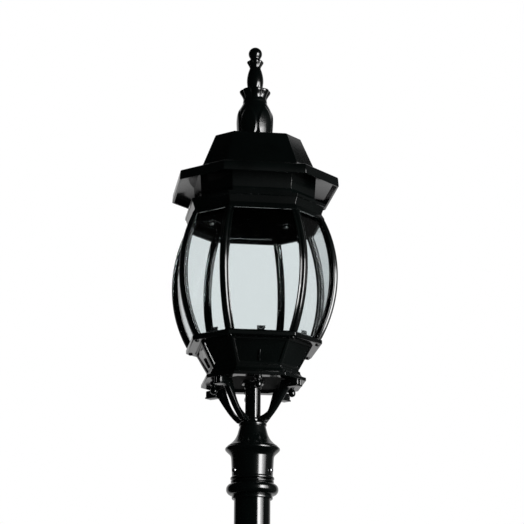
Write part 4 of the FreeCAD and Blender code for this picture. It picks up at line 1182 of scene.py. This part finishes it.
def build_world(studio):
    """White backdrop behind the lamp, a dark room in front of it, also for rays that a surface mirrors."""
    world = bpy.data.worlds.new("Studio_room")
    bpy.context.scene.world = world
    world.use_nodes = True
    tree = world.node_tree
    tree.nodes.clear()
    place = tree.nodes.new("ShaderNodeTexCoord").outputs["Generated"]

    def facing(direction, start, end, strength):
        node = tree.nodes.new("ShaderNodeVectorMath")
        node.operation = "DOT_PRODUCT"
        tree.links.new(place, node.inputs[0])
        node.inputs[1].default_value = Vector(direction).normalized()
        return math_node(tree, "MULTIPLY", ramp(tree, node.outputs["Value"], start, end), strength)

    dark_room = 0.005
    floor_light = 0.40
    back = facing((math.sin(studio.turn), math.cos(studio.turn), 0.1), 0.62, 0.80, 0.55)
    right = facing((0.95, 0.30, 0.0), 0.55, 1.0, 0.05)
    room = math_node(tree, "ADD", math_node(tree, "MAXIMUM", back, right), dark_room)
    path = tree.nodes.new("ShaderNodeLightPath")
    mirrored = math_node(tree, "GREATER_THAN", path.outputs["Glossy Depth"], 0.5)
    straight = math_node(tree, "SUBTRACT", path.outputs["Is Transmission Ray"], mirrored, clamp=True)
    seen = math_node(tree, "MAXIMUM", path.outputs["Is Camera Ray"], straight)
    lit = math_node(tree, "MULTIPLY", path.outputs["Is Diffuse Ray"], floor_light)
    glossy = math_node(tree, "MAXIMUM", path.outputs["Is Glossy Ray"], mirrored)
    bright = math_node(tree, "MAXIMUM", math_node(tree, "MAXIMUM", seen, lit),
                       math_node(tree, "MULTIPLY", room, glossy))
    shader = tree.nodes.new("ShaderNodeBackground")
    shader.inputs["Color"].default_value = (1, 1, 1, 1)
    tree.links.new(math_node(tree, "MULTIPLY", bright, studio.backdrop), shader.inputs["Strength"])
    output = tree.nodes.new("ShaderNodeOutputWorld")
    tree.links.new(shader.outputs[0], output.inputs["Surface"])


def build_floor():
    """Plain pale floor under the base plate."""
    shape = bmesh.new()
    bmesh.ops.create_circle(shape, cap_ends=True, segments=96, radius=2.2)
    bmesh.ops.bevel(shape, geom=shape.verts[:], offset=0.01, segments=1, profile=0.5, affect="VERTICES",
                    material=-1)
    raised(shape, -0.4)
    mesh = bpy.data.meshes.new("Studio_floor")
    shape.to_mesh(mesh)
    shape.free()
    material, tree, shader = new_material("Pale_floor")
    cloud = ramp(tree, noise(tree, object_coordinates(tree), 3.0, 4.0), 0.3, 0.7)
    tree.links.new(blend_colour(tree, cloud, (0.80, 0.80, 0.79), (0.77, 0.77, 0.76)),
                   shader.inputs["Base Color"])
    shader.inputs["Roughness"].default_value = 0.6
    mesh.materials.append(material)
    floor = bpy.data.objects.new("Studio_floor", mesh)
    bpy.context.scene.collection.objects.link(floor)
    floor.visible_glossy = False


def build_stage():
    """Camera, lights, room and floor."""
    studio = settings("lamp_studio")
    build_camera(studio)
    build_world(studio)
    build_floor()
    build_softbox(studio)
    bpy.context.scene.view_settings.view_transform = "Standard"


# Operators ----------------------------------------------------------------------------------

class BuildingStep:
    """Options that every building step shares"""
    bl_options = {"REGISTER", "UNDO"}


class LAMPPOST_OT_stage(BuildingStep, bpy.types.Operator):
    """Builds: camera, lights, room and floor"""
    bl_idname = "lamppost.stage"
    bl_label = "Build stage"

    def execute(self, context):
        build_stage()
        return {"FINISHED"}


class LAMPPOST_OT_base_plate(BuildingStep, bpy.types.Operator):
    """Builds: round plate with its anchor holes and cable hole"""
    bl_idname = "lamppost.base_plate"
    bl_label = "Build base plate"

    def execute(self, context):
        build_base_plate()
        return {"FINISHED"}


class LAMPPOST_OT_tubes(BuildingStep, bpy.types.Operator):
    """Builds: the lower column and the upper tube, each with a narrow welded seam inside"""
    bl_idname = "lamppost.tubes"
    bl_label = "Build tubes"

    def execute(self, context):
        build_tubes()
        return {"FINISHED"}


class LAMPPOST_OT_base_cover(BuildingStep, bpy.types.Operator):
    """Builds: cast bell over the anchor bolts"""
    bl_idname = "lamppost.base_cover"
    bl_label = "Build base cover"

    def execute(self, context):
        build_base_cover()
        return {"FINISHED"}


class LAMPPOST_OT_column_collar(BuildingStep, bpy.types.Operator):
    """Builds: turned collar between the column and the tube"""
    bl_idname = "lamppost.column_collar"
    bl_label = "Build column collar"

    def execute(self, context):
        build_column_collar()
        return {"FINISHED"}


class LAMPPOST_OT_post_ring(BuildingStep, bpy.types.Operator):
    """Builds: round moulding under the fitter"""
    bl_idname = "lamppost.post_ring"
    bl_label = "Build post ring"

    def execute(self, context):
        build_post_ring()
        return {"FINISHED"}


class LAMPPOST_OT_post_fitter(BuildingStep, bpy.types.Operator):
    """Builds: cast cap with its skirt, flange, bell and top bead"""
    bl_idname = "lamppost.post_fitter"
    bl_label = "Build fitter"

    def execute(self, context):
        build_post_fitter()
        return {"FINISHED"}


class LAMPPOST_OT_stem(BuildingStep, bpy.types.Operator):
    """Builds: threaded stem, its two nuts and the rubber bush"""
    bl_idname = "lamppost.stem"
    bl_label = "Build stem"

    def execute(self, context):
        build_stem()
        return {"FINISHED"}


class LAMPPOST_OT_arms(BuildingStep, bpy.types.Operator):
    """Builds: the four arms under the tray"""
    bl_idname = "lamppost.arms"
    bl_label = "Build arms"

    def execute(self, context):
        build_arms()
        return {"FINISHED"}


class LAMPPOST_OT_ball_drops(BuildingStep, bpy.types.Operator):
    """Builds: the four balls under the tray, each on its stud"""
    bl_idname = "lamppost.ball_drops"
    bl_label = "Build ball drops"

    def execute(self, context):
        build_ball_drops()
        return {"FINISHED"}


class LAMPPOST_OT_tray_base(BuildingStep, bpy.types.Operator):
    """Builds: eight-sided foot of the tray, hollowed above its edge"""
    bl_idname = "lamppost.tray_base"
    bl_label = "Build tray base"

    def execute(self, context):
        build_tray_base()
        return {"FINISHED"}


class LAMPPOST_OT_tray_body(BuildingStep, bpy.types.Operator):
    """Builds: eight-sided dish with sunk panels, a ridge down each and the bosses inside"""
    bl_idname = "lamppost.tray_body"
    bl_label = "Build tray body"

    def execute(self, context):
        build_tray_body()
        return {"FINISHED"}


class LAMPPOST_OT_lampholder(BuildingStep, bpy.types.Operator):
    """Builds: ceramic cup, its threaded sleeve and contact, the strip under it and the terminal block"""
    bl_idname = "lamppost.lampholder"
    bl_label = "Build lampholder"

    def execute(self, context):
        build_lampholder()
        return {"FINISHED"}


class LAMPPOST_OT_lamp(BuildingStep, bpy.types.Operator):
    """Builds: round lamp bulb and its screw cap"""
    bl_idname = "lamppost.lamp"
    bl_label = "Build lamp"

    def execute(self, context):
        build_lamp()
        return {"FINISHED"}


class LAMPPOST_OT_bottom_ring(BuildingStep, bpy.types.Operator):
    """Builds: eight-sided ring under the glass"""
    bl_idname = "lamppost.bottom_ring"
    bl_label = "Build bottom ring"

    def execute(self, context):
        build_bottom_ring()
        return {"FINISHED"}


class LAMPPOST_OT_cage_ribs(BuildingStep, bpy.types.Operator):
    """Builds: the eight bowed ribs"""
    bl_idname = "lamppost.cage_ribs"
    bl_label = "Build cage ribs"

    def execute(self, context):
        build_cage_ribs()
        return {"FINISHED"}


class LAMPPOST_OT_panes(BuildingStep, bpy.types.Operator):
    """Builds: the four wide and the four narrow panes"""
    bl_idname = "lamppost.panes"
    bl_label = "Build panes"

    def execute(self, context):
        build_panes()
        return {"FINISHED"}


class LAMPPOST_OT_pane_clips(BuildingStep, bpy.types.Operator):
    """Builds: the clips behind the feet of the panes"""
    bl_idname = "lamppost.pane_clips"
    bl_label = "Build pane clips"

    def execute(self, context):
        build_pane_clips()
        return {"FINISHED"}


class LAMPPOST_OT_top_ring(BuildingStep, bpy.types.Operator):
    """Builds: eight-sided band over the ribs, with its lugs"""
    bl_idname = "lamppost.top_ring"
    bl_label = "Build top ring"

    def execute(self, context):
        build_top_ring()
        return {"FINISHED"}


class LAMPPOST_OT_lantern_throat(BuildingStep, bpy.types.Operator):
    """Builds: eight-sided upstand on the top ring, with a rolled bead round its rim"""
    bl_idname = "lamppost.lantern_throat"
    bl_label = "Build throat"

    def execute(self, context):
        build_lantern_throat()
        return {"FINISHED"}


class LAMPPOST_OT_roof_cap(BuildingStep, bpy.types.Operator):
    """Builds: hollow eight-sided roof with a cove above its brim"""
    bl_idname = "lamppost.roof_cap"
    bl_label = "Build roof"

    def execute(self, context):
        build_roof_cap()
        return {"FINISHED"}


class LAMPPOST_OT_roof_pillars(BuildingStep, bpy.types.Operator):
    """Builds: the four pillars under the roof"""
    bl_idname = "lamppost.roof_pillars"
    bl_label = "Build roof pillars"

    def execute(self, context):
        build_roof_pillars()
        return {"FINISHED"}


class LAMPPOST_OT_finial(BuildingStep, bpy.types.Operator):
    """Builds: finial with its leafy bulb, two petal collars, spindle and ball; its stud and nut"""
    bl_idname = "lamppost.finial"
    bl_label = "Build finial"

    def execute(self, context):
        build_finial()
        return {"FINISHED"}


class LAMPPOST_OT_screws(BuildingStep, bpy.types.Operator):
    """Builds: every screw of the post and the lantern"""
    bl_idname = "lamppost.screws"
    bl_label = "Build screws"

    def execute(self, context):
        build_screws()
        return {"FINISHED"}


STEPS = (
    LAMPPOST_OT_stage, LAMPPOST_OT_base_plate, LAMPPOST_OT_tubes,
    LAMPPOST_OT_base_cover, LAMPPOST_OT_column_collar, LAMPPOST_OT_post_ring,
    LAMPPOST_OT_post_fitter, LAMPPOST_OT_stem, LAMPPOST_OT_arms,
    LAMPPOST_OT_ball_drops, LAMPPOST_OT_tray_base, LAMPPOST_OT_tray_body,
    LAMPPOST_OT_lampholder, LAMPPOST_OT_lamp, LAMPPOST_OT_bottom_ring,
    LAMPPOST_OT_cage_ribs, LAMPPOST_OT_panes, LAMPPOST_OT_pane_clips,
    LAMPPOST_OT_top_ring, LAMPPOST_OT_lantern_throat, LAMPPOST_OT_roof_cap,
    LAMPPOST_OT_roof_pillars, LAMPPOST_OT_finial, LAMPPOST_OT_screws)


class LAMPPOST_PT_pieces(bpy.types.Panel):
    """Lists the building steps and the settings"""
    bl_label = "Lamp Post"
    bl_idname = "LAMPPOST_PT_pieces"
    bl_space_type = "VIEW_3D"
    bl_region_type = "UI"
    bl_category = "Lamp Post"

    def draw(self, context):
        for name, group in SETTINGS.items():
            box = self.layout.box()
            box.label(text=group.__doc__)
            for label in group.__annotations__:
                box.prop(getattr(context.scene, name), label)
        for step in STEPS:
            self.layout.operator(step.bl_idname)


def register():
    """Adds the settings, the operators and the panel."""
    for group in SETTINGS.values():
        bpy.utils.register_class(group)
    for name, group in SETTINGS.items():
        setattr(bpy.types.Scene, name, PointerProperty(type=group))
    for step in STEPS:
        bpy.utils.register_class(step)
    bpy.utils.register_class(LAMPPOST_PT_pieces)


def unregister():
    """Takes them away again."""
    bpy.utils.unregister_class(LAMPPOST_PT_pieces)
    for step in reversed(STEPS):
        bpy.utils.unregister_class(step)
    for name, group in reversed(SETTINGS.items()):
        delattr(bpy.types.Scene, name)
        bpy.utils.unregister_class(group)


def main():
    """Registers everything and builds every piece in order."""
    register()
    for step in STEPS:
        group, name = step.bl_idname.split(".")
        getattr(getattr(bpy.ops, group), name)()


if __name__ == "__main__":
    main()
